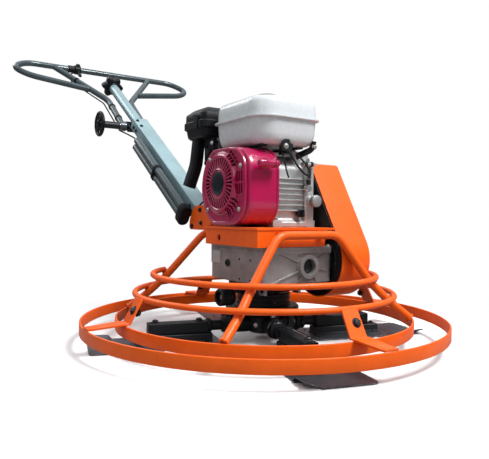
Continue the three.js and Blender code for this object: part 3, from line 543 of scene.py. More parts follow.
def handle_bracket():
    """Two rounded ears outside the tongue, on a foot, joined by a gusset that sweeps up between them."""
    low = DECK_Z[1] + 0.4
    y0, y1 = CHEEK_Y
    outline = corners([(y0, low), (y0 + 20, low), (y0 + 28, 276), (y1 - 8, 276), (y1 - 11, 306),
                       (y1 - 38, 345), (y0 + 34, 346), (y0, low + 24)], [2, 2, 6, 10, 40, 26, 18, 10])
    sides = (HANDLE_X - CHEEK_REACH, HANDLE_X + CHEEK_REACH - CHEEK_SHEET)
    cheeks = [prism("x", outline, x, x + CHEEK_SHEET) for x in sides]
    foot = block((HANDLE_X - CHEEK_REACH, HANDLE_X + CHEEK_REACH), (y0, y1 - 10), (low, low + CHEEK_SHEET))
    sweep = [(y0 + 2, low + 3), (y0 + 52, low + 3), (y0 + 30, low + 8), (y0 + 14, low + 20),
             (y0 + 6, low + 34), (y0 + 2, low + 34)]
    gusset = prism("x", corners(sweep, [0, 0, 16, 16, 4, 1]), HANDLE_X - 42, HANDLE_X + 42)
    return carve(cheeks[0], [cheeks[1], foot, gusset])


def build_deck():
    piece("deck", engine_deck(), "machine", "orange", ["engine_deck"], bevel=0.8)
    piece("bracket_cheeks", handle_bracket(), "machine", "orange", ["handle_bracket"], bevel=0.8)
    heads = [bolt((HANDLE_X + side * CHEEK_REACH, y, z), X * side, 5.5)
             for side in (-1, 1) for y, z in ((213, 333), (207, 296), (262, 286))]
    heads += [bolt((a, 190, DECK_Z[1] + 5.4), Z, 6) for a in (HANDLE_X - 22, HANDLE_X + 22)]
    piece("bracket_cheek_bolts", gather(*heads), "machine", "dark_steel")


# ---------------------------------------------------------------- gearbox
def gearbox():
    front = GEARBOX_Y[0]
    lip = prism("z", rect((GEARBOX_X[0] - 2, GEARBOX_X[1] + 2), (front - 3, GEARBOX_Y[1] + 2), 13),
                GEARBOX_Z[1] - 8, GEARBOX_Z[1])
    port = solid("y", [(37, front + 2), (32, front - 3), (28.5, front - 10)], PORT_X, PORT_Z)
    ribs = []
    for angle, reach in ((158, 112), (200, 122), (232, 46), (-52, 46), (-12, 66), (28, 60), (128, 40)):
        profile = [(24, front + 1), (reach, front + 1), (reach, front - 1.5), (24, front - 5)]
        turn = Matrix.Translation((PORT_X, 0, PORT_Z)) @ turn_about("Y", -angle)
        ribs.append(moved(prism("z", profile, -2.2, 2.2), turn))
    foot = prism("z", rect((GEARBOX_X[0] + 6, GEARBOX_X[1] - 6), (front + 6, GEARBOX_Y[1] - 6), 10), 155, 160)
    boss = solid("z", [(58, 159), (46, 154), (42, 150)])
    lugs = [block((a - 4, a + 4), (-84, -60), (123, 160)) for a in (-52, 52)]
    holes = [rod("x", 3.4, GEARBOX_X[0] - 3, GEARBOX_X[0] + 8, a, b, 20) for a in (-101, -54)
             for b in (164, 212)]
    port_bore = solid("y", [(19.5, front - 11), (18, front - 8), (18, front + 9)], PORT_X, PORT_Z)
    base = prism("z", rect(GEARBOX_X, GEARBOX_Y, 12), *GEARBOX_Z)
    inside = prism("z", rect((-96, 86), (-138, 74), 8), 170, 240)
    clip = block((-200, 200), (-200, 200), (100, GEARBOX_Z[0] + 0.01))
    ribs = carve(ribs[0], ribs[1:], [clip])
    shaft = rod("x", 10.6, 80, 110, WORM_Y, WORM_Z)
    pin = rod("x", YOKE_PIN_R + 0.6, -60, 60, YOKE_PIN_Y, YOKE_PIN_Z)
    output = rod("z", 32, 149, 175, 0, 0)
    return carve(base, [lip, port, foot, boss, *lugs, ribs], [inside, port_bore, shaft, output, pin, *holes])


def build_gearbox():
    piece("gearbox_case", gearbox(), "machine", "cast", ["gearbox_housing"], bevel=0.7)
    lid = prism("z", rect((-112, 102), (-153, 88), 13), 236.4, 243.8)
    posts = [solid("z", [(17, 243), (12, 248), (12, 284)], a, b, 36) for a in (-96, 44) for b in (-128, 56)]
    piece("gearbox_lid", carve(lid, posts), "machine", "cast", ["gearbox_cover"], bevel=0.8)
    rim = [(a, b) for a in (-100, -30, 20, 90) for b in (-145, 80)]
    rim += [(a, b) for a in (-104, 94) for b in (-100, 0)]
    screws = [bolt((a, b, 243.8), Z, 5.5) for a, b in rim]
    piece("lid_screws", gather(*screws), "machine", "zinc")
    socket = carve(solid("x", [(9, -109), (9, -113), (7.5, -114.5)], -2, 200, 36),
                   cut=[rod("x", 4.5, -116, -111, -2, 200, 6)])
    plug = carve(solid("y", [(17.4, -141.2), (17.4, -146), (16, -147), (12, -147), (11, -145.5)], PORT_X,
                       PORT_Z, 48), cut=[rod("y", 5, -149, -144, PORT_X, PORT_Z, 6)])
    piece("gearbox_plugs", gather(socket, plug), "machine", "dark_steel", bevel=0.3)
    plate = prism("x", rect((34, 80), (196, 233), 2.5), -110.9, -109.8)
    frame_line = carve(prism("x", rect((38, 76), (199, 230), 2), -111.2, -110.7),
                       cut=[prism("x", rect((39, 75), (200, 229), 2), -112, -110)])
    rivets = [turned("x", [(0, -112), (1.6, -111.4), (1.8, -110.8), (0, -110.8)], a, b, 14)
              for a in (36, 78) for b in (198, 231)]
    piece("rating_plate_blank", gather(plate, frame_line, *rivets), "machine", "zinc")


# ---------------------------------------------------------------- belt guard
def guard_outline(inset):
    return wrap([(WORM_Y, 208, 97 - inset), (0, CRANK_Z, 62 - inset), (48, 444, 12 - inset * 0.9),
                 (-48, 444, 12 - inset * 0.9)])


def guard_layers(layers):
    return loft([[(x, u, v) for u, v in guard_outline(inset)] for x, inset in layers])


def build_drive():
    outside = guard_layers([(GUARD_X[0], 0), (GUARD_X[1] - 6, 0), (GUARD_X[1] - 3, 0.8),
                            (GUARD_X[1] - 0.8, 2.6), (GUARD_X[1], 5)])
    inside = guard_layers([(100, 3), (GUARD_X[1] - 7, 3), (GUARD_X[1] - 3, 6)])
    piece("belt_cover", carve(outside, cut=[inside]), "machine", "orange", ["belt_guard"], bevel=0.5)
    plate = prism("x", guard_outline(4), 103.2, 106.2)
    holes = [rod("x", 24, 100, 110, WORM_Y, WORM_Z), rod("x", 30, 100, 110, 0, CRANK_Z)]
    dish = turned("x", [(46, 103.8), (49, 101.6), (60, 101.6), (63, 103.8)], WORM_Y, WORM_Z)
    step = turned("x", [(70, 103.8), (72, 101.8), (76, 101.8), (78, 103.8)], WORM_Y, WORM_Z)
    piece("back_plate", carve(plate, [dish, step], holes), "machine", "black_paint",
          ["guard_back_plate"], bevel=0.4)
    around = [(WORM_Y - 40, 280), (WORM_Y + 60, 140), (40, 440), (-48, 430)]
    piece("guard_screws", gather(*[bolt((103.2, u, v), -X, 6) for u, v in around]), "machine", "zinc")
    outer = [bolt((GUARD_X[1], u, v), X, 6.5) for u, v in ((WORM_Y, 150), (-30, 440), (30, 440))]
    piece("guard_face_bolts", gather(*outer), "machine", "dark_steel")


# ---------------------------------------------------------------- rotor
def spider():
    profile = [(HUB_BORE_R, 18), (36, 18), (44, 22), (44, 57), (41, 62), (30, 62.5), (30, 68), (27, 71),
               (HUB_BORE_R, 71)]
    hub = turned("z", profile)
    sockets, bores = [], []
    for degrees in ARM_ANGLES:
        turn = turn_about("Z", degrees)
        tube = solid("x", [(20, 0), (21, 60), (21, 84), (24, 86), (24, 95), (22.5, 96.5)], 0, ARM_Z, 40)
        sockets.append(moved(tube, turn))
        sockets.append(moved(rod("z", 9, 54, 66, 72, 0, 24), turn))
        bores.append(moved(rod("x", ARM_R + 0.4, 51.6, 99, 0, ARM_Z, 40), turn))
    return carve(hub, sockets, bores)


def trowel_arm():
    """Drawn along +X: round shank, square outer bar and the finger that the collar presses on."""
    shank = solid("x", [(ARM_R, 52), (ARM_R, 152)], 0, ARM_Z, 36)
    bar = prism("x", rect((-15, 15), (24, 53), 4), 148, ARM_END)
    shoulder = solid("x", [(15, 140), (19, 145), (19, 151)], 0, ARM_Z, 36)
    clamp = solid("x", [(17, 99.5), (20, 101.5), (20, 105), (18.6, 106), (20, 107), (20, 110.5), (17, 112.5)],
                  0, ARM_Z, 40)
    lever = prism("x", corners([(6, 30), (30, 34), (38, 44), (38, 77), (26, 77), (26, 52), (6, 50)],
                               [3, 8, 6, 3, 3, 6, 3]), 100.5, 111.5)
    finger = prism("z", rect((58, 112), (26, 38), 5), 68, 77)
    return carve(shank, [bar, shoulder, clamp, lever, finger])


def blade():
    """Sheet with a turned-up leading corner."""
    edge = -BLADE_HALF
    sheet = prism("z", corners(rect((118, BLADE_END), (edge, -edge)), [8, 30, 14, 8]), 0, 3)
    lift = [[(x, edge, 13 * k), (x, edge, 13 * k + 3), (x, -45, 3), (x, -45, 0)]
            for x, k in ((378, 0), (388, 0.8), (434, 1))]
    trimmed = carve(sheet, cut=[block((388, BLADE_END + 1), (edge - 1, -45.5), (-1, 4))])
    return carve(trimmed, [loft(lift)])


def blade_riser():
    """The folded stiffener that the arm is bolted to."""
    return prism("x", corners([(-24, 3.05), (24, 3.05), (24, 5), (17, 6), (17, 23.4), (-17, 23.4), (-17, 6),
                               (-24, 5)], [0, 0, 1, 2, 3, 3, 2, 1]), 140, 330)


def build_rotor():
    piece("spider", spider(), "rotor", "black_paint", ["spider_hub"], bevel=0.5)
    clamps = [bolt(turn_about("Z", a) @ Vector((72, 0, 66)), Z, 6) for a in ARM_ANGLES]
    clamps += [bolt(turn_about("Z", a + 45) @ Vector((44, 0, 40)), turn_about("Z", a + 45) @ X, 4.5)
               for a in ARM_ANGLES]
    piece("spider_bolts", gather(*clamps), "rotor", "zinc")
    rings = [(HUB_BORE_R, 80), (89, 80), (91, 82), (91, 87), (89, 89), (72, 89), (69, 92), (69, 99),
             (67, 100.5), (67, 103.5), (69, 105), (69, 111), (67, 112.5), (67, 115), (69, 116.5), (69, 119.5),
             (66.5, 122), (40, 122), (38, 118), (HUB_BORE_R, 118)]
    piece("collar_body", turned("z", rings, sides=96), "collar", "black_paint", ["thrust_collar"])
    prongs = [prism("x", corners([(-80, 130), (-64, 130), (60, 130), (98, 132), (98, 142), (50, 146),
                                  (-64, 146), (-80, 142)], [6, 3, 10, 3, 3, 20, 6, 6]), a - 4, a + 4)
              for a in (-42, 42)]
    pads = [rod("z", 6, 123.2, 134, a, 0, 28) for a in (-42, 42)]
    rest = [rod("x", YOKE_PIN_R, -56, 56, YOKE_PIN_Y, YOKE_PIN_Z, 32),
            block((-46, 46), (88, 98), (132, 142)), block((-9, 9), (96, 126), (132, 142)),
            turned("x", [(8, -7), (15, -7), (15, 7), (8, 7)], 134, 137, 40),
            prism("z", corners([(-104, -12), (-104, 14), (-44, 8), (-44, -8)], 3), 124, 134)]
    boss = turned("x", [(15, -134), (20, -134), (22, -131), (22, -100), (18, -94), (0, -94), (0, -118),
                        (15, -122)], 2, 114, 48)
    piece("yoke", carve(prongs[0], [prongs[1], *pads, *rest, boss]), "yoke", "black_paint",
          ["pitch_yoke"], bevel=0.4)
    piece("yoke_pin", solid("x", [(7, -126), (8, -123), (8, -116)], 2, 114, 32), "yoke", "zinc")
    for i, degrees in enumerate(ARM_ANGLES):
        turn = turn_about("Z", degrees)
        body = f"arm_{i + 1}"
        piece(f"arm_{i + 1}_bar", moved(trowel_arm(), turn), body, "black_paint",
              [f"trowel_arm_{i + 1}"], bevel=0.5)
        piece(f"blade_{i + 1}_sheet", moved(blade(), turn), body, "blade",
              [f"trowel_blade_{i + 1}"], bevel=0.4)
        piece(f"blade_{i + 1}_riser", moved(blade_riser(), turn), body, "dark_steel", bevel=0.4)
        heads = [bolt(turn @ Vector((x, 0, 53)), Z, 8) for x in (171, 281)]
        heads += [bolt(turn @ Vector((x, side * 20.5, 4.8)), Z, 3) for x in (160, 235, 312)
                  for side in (-1, 1)]
        heads.append(bolt(turn @ Vector((318, 0, 23.4)), Z, 6))
        heads.append(bolt(turn @ Vector((106, 38, 60)), turn.to_3x3() @ Y, 5.5))
        studs = [turn @ Vector((x, y, 0)) for x in (140, 230, 320) for y in (-48, 48)]
        heads += [aimed(turned("z", [(0, 2.8), (4.6, 2.8), (3.4, 4.6), (0, 5)], sides=20), at, Z)
                  for at in studs]
        piece(f"arm_{i + 1}_bolts", gather(*heads), body, "dark_steel")


# ---------------------------------------------------------------- engine
FAN_Z = (291.9, 483)
FAN_ROUNDS = ((-7, 391.5, 107), (-56, 419.5, 62), (-60, 352.5, 58))
RECOIL_ROUNDS = ((-5, 388.5, 105), (-46, 419.5, 62), (-50, 350.5, 58))
TANK_X, TANK_Y = (-104, 76), (-128, 88)
ROPE_X, ROPE_Z = -84, 438
OIL_X, OIL_Z = 78, 355
FILLER_X, FILLER_Y = -4, -12


def housing_outline(rounds, inset):
    """Rounded towards the cylinder, squarer at the front, flat on top and underneath."""
    return [(y, min(max(z, FAN_Z[0] + inset), FAN_Z[1] - inset))
            for y, z in wrap([(y, z, r - inset) for y, z, r in rounds], 96)]


def housing_layers(rounds, layers):
    return loft([[(x, u, v) for u, v in housing_outline(rounds, inset)] for x, inset in layers])


def polar_slot(r, degrees, wide):
    """A rounded slot in the recoil face; degrees count from the top towards the front."""
    outline = corners([(-wide[0] / 2, r[0]), (wide[0] / 2, r[0]), (wide[1] / 2, r[1]), (-wide[1] / 2, r[1])],
                      1.2, 3)
    turn = math.radians(degrees)
    spun = [(-(v * math.sin(turn) + u * math.cos(turn)), CRANK_Z + v * math.cos(turn) - u * math.sin(turn))
            for u, v in outline]
    return prism("x", spun, -150, -110)


RECOIL_SCREWS = ((-89, 38), (-84, -64), (64, -64), (54, 62))


def recoil_band(low, high, far):
    """A raised sector between two angles, from the grille's rim outwards."""
    edge = [(79, a) for a in range(low, high + 1, 3)] + [(far, a) for a in range(high, low - 1, -3)]
    outline = [(-r * math.sin(math.radians(a)), CRANK_Z + r * math.cos(math.radians(a))) for r, a in edge]
    return prism("x", outline, -131.6, -129)


def recoil_cover():
    plate = housing_layers(RECOIL_ROUNDS, [(-124.4, 1), (-128.5, 1), (-130.6, 2), (-131.4, 4), (-131.4, 8),
                                           (-129.6, 10), (-129.6, 13)])
    rim = turned("x", [(79, -129), (78, -132.5), (75.5, -133.5), (73, -137.5), (68.5, -140), (64.5, -139.6),
                       (62.5, -138), (36, -140.5), (34, -142), (31.5, -142), (31, -140), (0, -140),
                       (0, -129)], 0, CRANK_Z, 96)
    frames = [prism("x", rect((-101, -67.5), (CRANK_Z - 31, CRANK_Z + 29), 5), -131.6, -129)]
    frames += [recoil_band(27, 60, 93), recoil_band(117, 156, 96)]
    hollow = housing_layers(RECOIL_ROUNDS, [(-120, 6), (-127.4, 6), (-128, 8)])
    dome = solid("x", [(74, -120), (72, -131), (67, -136.6), (60, -136.6), (36, -138)], 0, CRANK_Z, 96)
    slots = [polar_slot((37.5, 62.5), i * 10, (3.0, 6.2)) for i in range(36)]
    slots += [polar_slot(r, a, (8.6, 10.0)) for r in ((70.5, 79.5), (82, 90.5)) for a in (32, 40, 48, 56)]
    slots += [polar_slot((69, 93), a, (5.0, 6.4)) for a in (122, 130.5, 139, 147.5, 153)]
    slots += [prism("x", rect((u, u + 6.5), (CRANK_Z + v, CRANK_Z + v + 24.5), 1.6), -150, -110)
              for u in (-79, -88.5, -98) for v in (-28, 1.5)]
    wells = [rod("x", 6.5, -150, -129.2, u, CRANK_Z + v, 32) for u, v in RECOIL_SCREWS]
    return carve(plate, [rim, *frames], [hollow, dome, gather(*slots), *wells])


def fan_housing():
    shell = housing_layers(FAN_ROUNDS, [(-42, -2.5), (-47, -2.5), (-48.5, 0), (-112, 0), (-119, 0.8),
                                        (-122.5, 2.6), (-124, 5.5)])
    shroud = prism("x", rect((20, 128), (404, 446), 8), -90, -42)
    guide = solid("y", [(15, -106), (14, -119), (11.5, -123), (7, -123.5)], ROPE_X, ROPE_Z, 40)
    room = housing_layers(FAN_ROUNDS, [(-30, 3), (-119, 3), (-121, 6)])
    mouth = rod("x", 80, -130, -118, 0, CRANK_Z)
    return carve(shell, [shroud, guide], [room, mouth])


def starter_grip():
    bar = turned("x", [(0, -29), (6, -28.5), (9, -25), (10.5, -14), (9.4, 0), (10.5, 14), (9, 25), (6, 28.5),
                       (0, 29)], 0, 0, 40)
    neck = solid("y", [(9, 0), (7, 5), (5, 13)], 0, 0, 32)
    grooves = [turned("x", [(9.4, a - 1), (14, a - 1), (14, a + 1), (9.4, a + 1)], 0, 0, 40)
               for a in (-19, -14, -9, 9, 14, 19)]
    return moved(carve(bar, [neck], grooves), Matrix.Translation((ROPE_X, -136, ROPE_Z)))


def crankcase():
    base = DECK_Z[1] + 0.4
    outline = corners([(-92, base), (92, base), (92, base + 12), (78, base + 20), (82, 428), (58, 468),
                       (-42, 470), (-84, 440), (-86, 380), (-80, base + 20), (-92, base + 12)],
                      [2, 2, 4, 8, 24, 18, 18, 24, 40, 8, 4])
    body = prism("x", outline, -38, 92)
    feet = [block((a - 12, a + 12), (b - 10, b + 10), (base, base + 16)) for a in (-24, 80)
            for b in (-82, 82)]
    fins = [prism("z", corners([(-36, -78), (-36, -91.5), (54, -91.5), (60, -86), (60, -78)],
                               [0, 3, 6, 3, 0]), z, z + 2.6) for z in (330, 343, 356, 369, 382, 395, 408)]
    fins += [prism("z", rect((-34, 56), (74, 90), 4), z, z + 2.6) for z in (330, 345, 360)]
    pillar = prism("z", rect((60, 90), (-92, -70), 6), base + 10, 452)
    crown = [prism("z", rect((-30, 84), (-62, 52), 10), 466, 474),
             prism("z", rect((34, 86), (-74, -34), 6), 440, 480)]
    cover = solid("x", [(78, 91), (78, 95), (72, 97), (40, 97), (34, 100)], 0, CRANK_Z)
    filler = solid("y", [(17, -78), (14, -93), (14, -99)], OIL_X, OIL_Z, 36)
    bore = rod("x", 18, -40, 101, 0, CRANK_Z)
    return carve(body, [*feet, *fins, pillar, *crown, cover, filler], [bore])


def cylinder_head():
    """Drawn upright from the crank axis, then leaned back towards the operator."""
    fins = [prism("z", rect((-32 + k, 70 - k), (-50, 50), 9), z, z + 2.4)
            for k, z in zip((0, 0, 0, 0, 0, 2, 4), range(108, 165, 9))]
    barrel = rod("z", 40, 104, 178, 19, 0)
    head = prism("z", rect((-28, 66), (-42, 42), 8), 166, 186)
    rocker = tiers((-22, 60), (-34, 34), 12, ((185, 0), (203, 1.5), (208, 3.5), (211, 8)))
    plug_seat = rod("x", 9, -40, -20, 26, 176, 32)
    screws = [bolt((x, y, 186), Z, 5.5) for x, y in ((-24, -38), (62, -38), (-24, 38), (62, 38))]
    lean = Matrix.Translation((0, 0, CRANK_Z)) @ Matrix.Rotation(math.radians(-62), 4, "X")
    return moved(carve(barrel, [*fins, head, rocker, plug_seat]), lean), moved(gather(*screws), lean), lean


def fuel_tank():
    """Tapered under the seam, near-upright above it, with a crowned top and a step under its rear edge."""
    def ring(z, inset):
        radii = [max(9, r - inset * 0.55) for r in (54, 28, 34, 34)]
        return [(x, y, z) for x, y in rect((TANK_X[0] + inset, TANK_X[1] - inset),
                                           (TANK_Y[0] + inset, TANK_Y[1] - inset), radii, 10)]
    layers = [(488, 22), (489, 17), (493, 11), (501, 6), (515, 2.5), (547, 0.4), (549.3, 0), (549.6, -6),
              (550.3, -7), (553.7, -7), (554.4, -6), (554.7, 0), (570, 0.4), (586, 1.6), (594, 4), (599.5, 9),
              (603.5, 17), (605.5, 28), (606, 44)]
    neck = solid("z", [(34, 600), (31, 607), (25, 609.5), (24, 611)], FILLER_X, FILLER_Y)
    well = solid("z", [(20, 588), (20, 620)], FILLER_X, FILLER_Y, 48)
    recess = block((TANK_X[0] - 1, TANK_X[1] + 1), (74, TANK_Y[1] + 1), (480, 504))
    return carve(loft([ring(*layer) for layer in layers]), [neck], [well, recess])


def fuel_cap():
    profile = [(0, 612.2), (29, 612.2), (30, 613.5), (30, 620.5), (28.5, 623), (25, 624.6), (12, 625.4),
               (10, 627.4), (0, 628)]
    cap = turned("z", profile, FILLER_X, FILLER_Y, 96)
    flutes = [rod("z", 2.2, 611, 622, u, v, 12) for u, v in circle(FILLER_X, FILLER_Y, 31, 20)]
    return carve(cap, cut=[gather(*flutes)])


def air_cleaner():
    """Three tiers: a tapered foot, a wider band and a chamfered lid, with the intake spout below."""
    def ring(z, inset, corner):
        return [(x, y, z) for x, y in rect((-130 + inset, -14 - inset), (98 + inset, 220 - inset), corner, 6)]
    foot = loft([ring(*layer) for layer in ((524.5, 14, 14), (530, 9, 16), (553, 5, 18), (556, 5, 18))])
    belt = loft([ring(*layer) for layer in ((550, 3, 18), (552, 0.5, 20), (568, 0.5, 20), (571, 3, 18))])
    lid = loft([ring(*layer) for layer in ((566, 5, 18), (572, 4, 18), (589, 4.5, 18), (592, 6, 18),
                                           (603, 20, 14), (607, 28, 10), (610, 36, 7))])
    line = bent([(-98, 174, 545), (-101, 178, 500), (-103, 184, 455), (-116, 200, 396)], 18)
    spout = pipe(line, 17, 28, section=rect((-17, 17), (-15, 15), 9, 5))
    clips = [prism("x", corners([(128, 548), (128, 585), (146, 585), (146, 548)], 3), -131.5, -128)]
    knob = solid("z", [(9, 604), (9, 612), (7, 614)], -72, 160, 24)
    return carve(foot, [belt, lid, spout, *clips, knob])


def build_engine():
    piece("recoil_face", recoil_cover(), "machine", "magenta", ["recoil_cover"], bevel=0.45)
    inner = carve(prism("x", housing_outline(RECOIL_ROUNDS, 9), -126.9, -125.2),
                  cut=[rod("x", 53, -130, -120, 0, CRANK_Z)])
    piece("recoil_baffle", inner, "machine", "plastic")
    piece("recoil_disc", turned("x", [(0, -142.4), (20, -142.2), (28.5, -141.3), (30.4, -140.2),
                                      (30.4, -139.6), (0, -139.6)], 0, CRANK_Z), "machine", "emblem")
    face_screws = [bolt((-130.4, u, CRANK_Z + v), -X, 4.6) for u, v in RECOIL_SCREWS]
    piece("recoil_screws", gather(*face_screws), "machine", "zinc")
    piece("fan_shell", fan_housing(), "machine", "magenta", ["fan_housing"], bevel=0.5)
    piece("grip", starter_grip(), "recoil_grip", "magenta", ["starter_grip"], bevel=0.2)
    piece("case", crankcase(), "machine", "engine_cast", ["crankcase"], bevel=0.6)
    around = [i * math.tau / 6 + 0.4 for i in range(6)]
    case_bolts = [bolt((95, 71 * math.cos(a), CRANK_Z + 71 * math.sin(a)), X, 5.5) for a in around]
    case_bolts += [bolt((a, b, DECK_Z[1] + 16.4), Z, 6.5) for a in (-24, 80) for b in (-82, 82)]
    case_bolts += [bolt((a, b, 480), Z, 5) for a, b in ((42, -66), (78, -66), (60, -42))]
    piece("case_bolts", gather(*case_bolts), "machine", "zinc")
    head, screws, lean = cylinder_head()
    piece("cylinder", head, "machine", "engine_cast", ["cylinder_head"], bevel=0.4)
    piece("rocker_screws", screws, "machine", "zinc")
    plug = moved(solid("x", [(9, -74), (11, -70), (11, -56), (8, -52), (7, -38)], 26, 176, 28), lean)
    start = lean @ Vector((-68, 26, 176))
    lead = pipe(bent([start, start + Vector((-9, -12, -6)), (-84, 138, 440), (-60, 112, 436)], 6), 3.4, 10)
    piece("spark_lead", gather(plug, lead), "machine", "rubber")
    piece("tank", fuel_tank(), "machine", "white", ["fuel_tank"], angle=50)
    piece("cap", fuel_cap(), "tank_cap", "dark_steel", ["fuel_cap"], bevel=0.3)
    piece("air_box", air_cleaner(), "machine", "plastic", ["air_cleaner"], bevel=0.5)
    build_engine_trim()


def build_engine_trim():
    stay = pipe(bent([(62, -120, 502), (60, -116, 482), (40, -80, 466)], 8), 0,
                section=rect((-9, 9), (-2.5, 2.5), 1), up=X)
    lug = prism("y", corners([(-40, 472), (-14, 472), (-14, 500), (-32, 500)], [6, 2, 2, 8]), -124, -117)
    arm = prism("y", corners([(-22, 466), (-4, 466), (0, 490), (-16, 494)], [4, 4, 2, 2]), -118, -86)
    rails = [block((a - 8, a + 8), (-96, 60), (483.5, 488)) for a in (-70, 40)]
    piece("tank_stays", gather(stay, lug, arm, *rails), "machine", "dark_steel", bevel=0.4)
    piece("stay_bolts", gather(bolt((-26, -124, 483), -Y, 5.5), bolt((62, -122, 488), -Y, 5.5)),
          "machine", "zinc")
    loop = pipe(bent([(-22, -116, 482), (-18, -128, 468), (0, -132, 440), (26, -128, 420), (50, -124, 414),
                      (54, -118, 428), (40, -110, 452), (20, -104, 470)], 10), 2.2, 10)
    second = pipe(bent([(-30, -110, 478), (-34, -128, 452), (-30, -132, 424), (-20, -128, 408)], 10), 2.0, 10)
    piece("wires", gather(loop, second), "machine", "rubber")
    can = tiers((-4, 88), (98, 206), 20, ((548, 6), (551, 2), (556, 0), (600, 0), (605, 2), (608, 6)))
    louvres = [prism("z", rect((6, 78), (b, b + 6), 2.8), 606.5, 612) for b in range(112, 192, 14)]
    outlet = pipe(bent([(79, 140, 470), (79, 140, 552)], 4), 9, 20)
    piece("silencer", carve(can, [outlet], [gather(*louvres)]), "machine", "dark_steel",
          ["muffler"], bevel=0.5)
    body = prism("z", rect((-76, -34), (112, 156), 6), 484, 518)
    bowl = solid("z", [(10, 452), (15, 456), (16.5, 462), (16.5, 484)], -55, 134, 40)
    intake = solid("x", [(13, -90), (15, -88), (15, -75)], 134, 502, 32)
    flange = prism("z", rect((-82, -28), (108, 160), 10), 517, 524.4)
    drain = bolt((-55, 134, 452), -Z, 5, False)
    piece("carburettor_body", carve(body, [bowl, intake, flange]), "machine", "cast",
          ["carburettor"], bevel=0.5)
    linkage = carve(prism("x", corners([(98, 446), (122, 434), (142, 446), (147, 470), (147, 523), (98, 523)],
                                       [8, 10, 10, 8, 3, 3]), -97, -91),
                    [solid("x", [(8, -106), (10, -103), (10, -92)], 116, 486, 32),
                     solid("x", [(6, -102), (7, -100), (7, -92)], 134, 458, 28),
                     block((-96, -86), (100, 144), (512, 524))], [rod("x", 5, -99, -88, 132, 500, 24)])
    piece("linkage_plate", linkage, "machine", "plastic", bevel=0.6)
    piece("linkage_bolts", gather(bolt((-97, 106, 510), -X, 4.5), bolt((-97, 112, 452), -X, 4.5)),
          "machine", "bright")
    piece("carburettor_screws", gather(drain, bolt((-76, 122, 510), -X, 4), bolt((-76, 148, 490), -X, 4)),
          "machine", "zinc")
    strip = carve(prism("y", corners([(56, 380), (68, 380), (66, 462), (58, 462)], 4), -101, -98.4),
                  [solid("y", [(8, -106), (9, -104), (9, -93)], 62, 386, 28),
                   rod("x", 3.2, 44, 82, -102, 447, 20), rod("x", 5, 42, 50, -102, 447, 20),
                   rod("x", 5, 76, 84, -102, 447, 20)])
    piece("governor_strip", strip, "governor", "bright", ["governor_arm"], bevel=0.3)
    spring = [(62 + 3.2 * math.cos(a), -107 + 3.2 * math.sin(a), 440 - a * 0.55)
              for a in (i * math.tau / 14 for i in range(126))]
    collars = [rod("x", 6.4, a, a + 3, -102, 447, 20) for a in (52, 70)]
    collars.append(rod("z", 6.5, 396, 408, 62, -102, 6))
    piece("governor_spring", gather(pipe(spring, 0.9, 8), *collars), "governor", "dark_steel")
    grips = [rod("y", 1.8, -120, -110.5, u, v, 10) for u, v in circle(OIL_X, OIL_Z, 16, 10)]
    stem = solid("y", [(11, -119), (15, -117), (15.4, -109), (12, -107), (10.5, -106), (10.5, -99.4)],
                 OIL_X, OIL_Z, 60)
    piece("dipstick_cap", carve(stem, cut=[gather(*grips)]), "dipstick", "cast", ["oil_cap"], bevel=0.2)
    seat = solid("y", [(10, -86.9), (10, -98), (8.5, -100)], 44, 324, 40)
    key = prism("y", rect((41, 47), (315, 333), 2), -106.8, -99)
    piece("stop_switch", carve(seat, [key]), "switch", "plastic", ["engine_switch"], bevel=0.5)
    rope = pipe([(ROPE_X, y, ROPE_Z) for y in (-118, -120, -127, -129)], 2.2, 10)
    ends = [TO_ROW @ Vector((ROPE_X, y, ROPE_Z)) for y in (-120.5, -126.5)]
    piece("starter_rope", rope, ("machine", "recoil_grip", *ends), "rubber")


# ---------------------------------------------------------------- handle
# Drawn in the handle's own frame: X across, Y up the handle, Z square to its upper face.
# The bar's frame starts at the pivot and rises a little more steeply.
HANDLE_FOOT = (HANDLE_X, 257, 310)
HANDLE_TILT, BAR_STEEPER = math.radians(33.7), math.radians(3.5)
PIVOT_S, PIVOT_N = 659, -30
HANDLE = Matrix.Translation(HANDLE_FOOT) @ Matrix.Rotation(HANDLE_TILT, 4, "X")
BAR = HANDLE @ Matrix.Translation((0, PIVOT_S, PIVOT_N)) @ Matrix.Rotation(BAR_STEEPER, 4, "X")
BAR_TOP, BAR_R = 462, 11.5
POLE_X, POLE_N = -56, (3, -23)
THROTTLE_X = -112


def on_handle(one):
    return moved(one, HANDLE)


def on_bar(one):
    return moved(one, BAR)


def star_knob():
    def ring(y, inset):
        angles = [i * math.tau / 120 for i in range(120)]
        radii = [38 - inset + (6 - inset * 0.25) * math.cos(6 * a) for a in angles]
        return [(r * math.cos(a), y, r * math.sin(a)) for r, a in zip(radii, angles)]
    star = loft([ring(*layer) for layer in ((963, 6), (964, 3), (967, 0.8), (971, 0), (987, 0), (991, 0.8),
                                            (994, 3.4), (995, 8), (995, 16), (992.5, 19), (992.5, 24))])
    sleeve = solid("y", [(21.5, 955.6), (23, 957), (23, 962), (20, 966)])
    cap = solid("y", [(11, 990), (11, 994), (9.5, 995)], sides=48)
    return carve(star, [sleeve, cap], [rod("y", 8.4, 950, 981, 0, 0, 32)])


def handle_tube():
    tube = prism("y", rect((-28, 28), (-22, 22), 5), 10, 628)
    inner = prism("y", rect((-25, 25), (-19, 19), 2), 9, 622)
    neck = solid("y", [(19, 610), (19, 953.5), (17.5, 955)])
    seam = turned("y", [(18, 627), (25, 627.6), (24, 630), (19.6, 632.6), (18, 633)])
    slots = [prism("z", rect((-8, 8), (s - 20, s + 20), 7.5), -30, -18) for s in (120, 470)]
    return carve(tube, [neck, seam], [inner, rod("y", 10, 600, 960, 0, 0, 32), *slots])


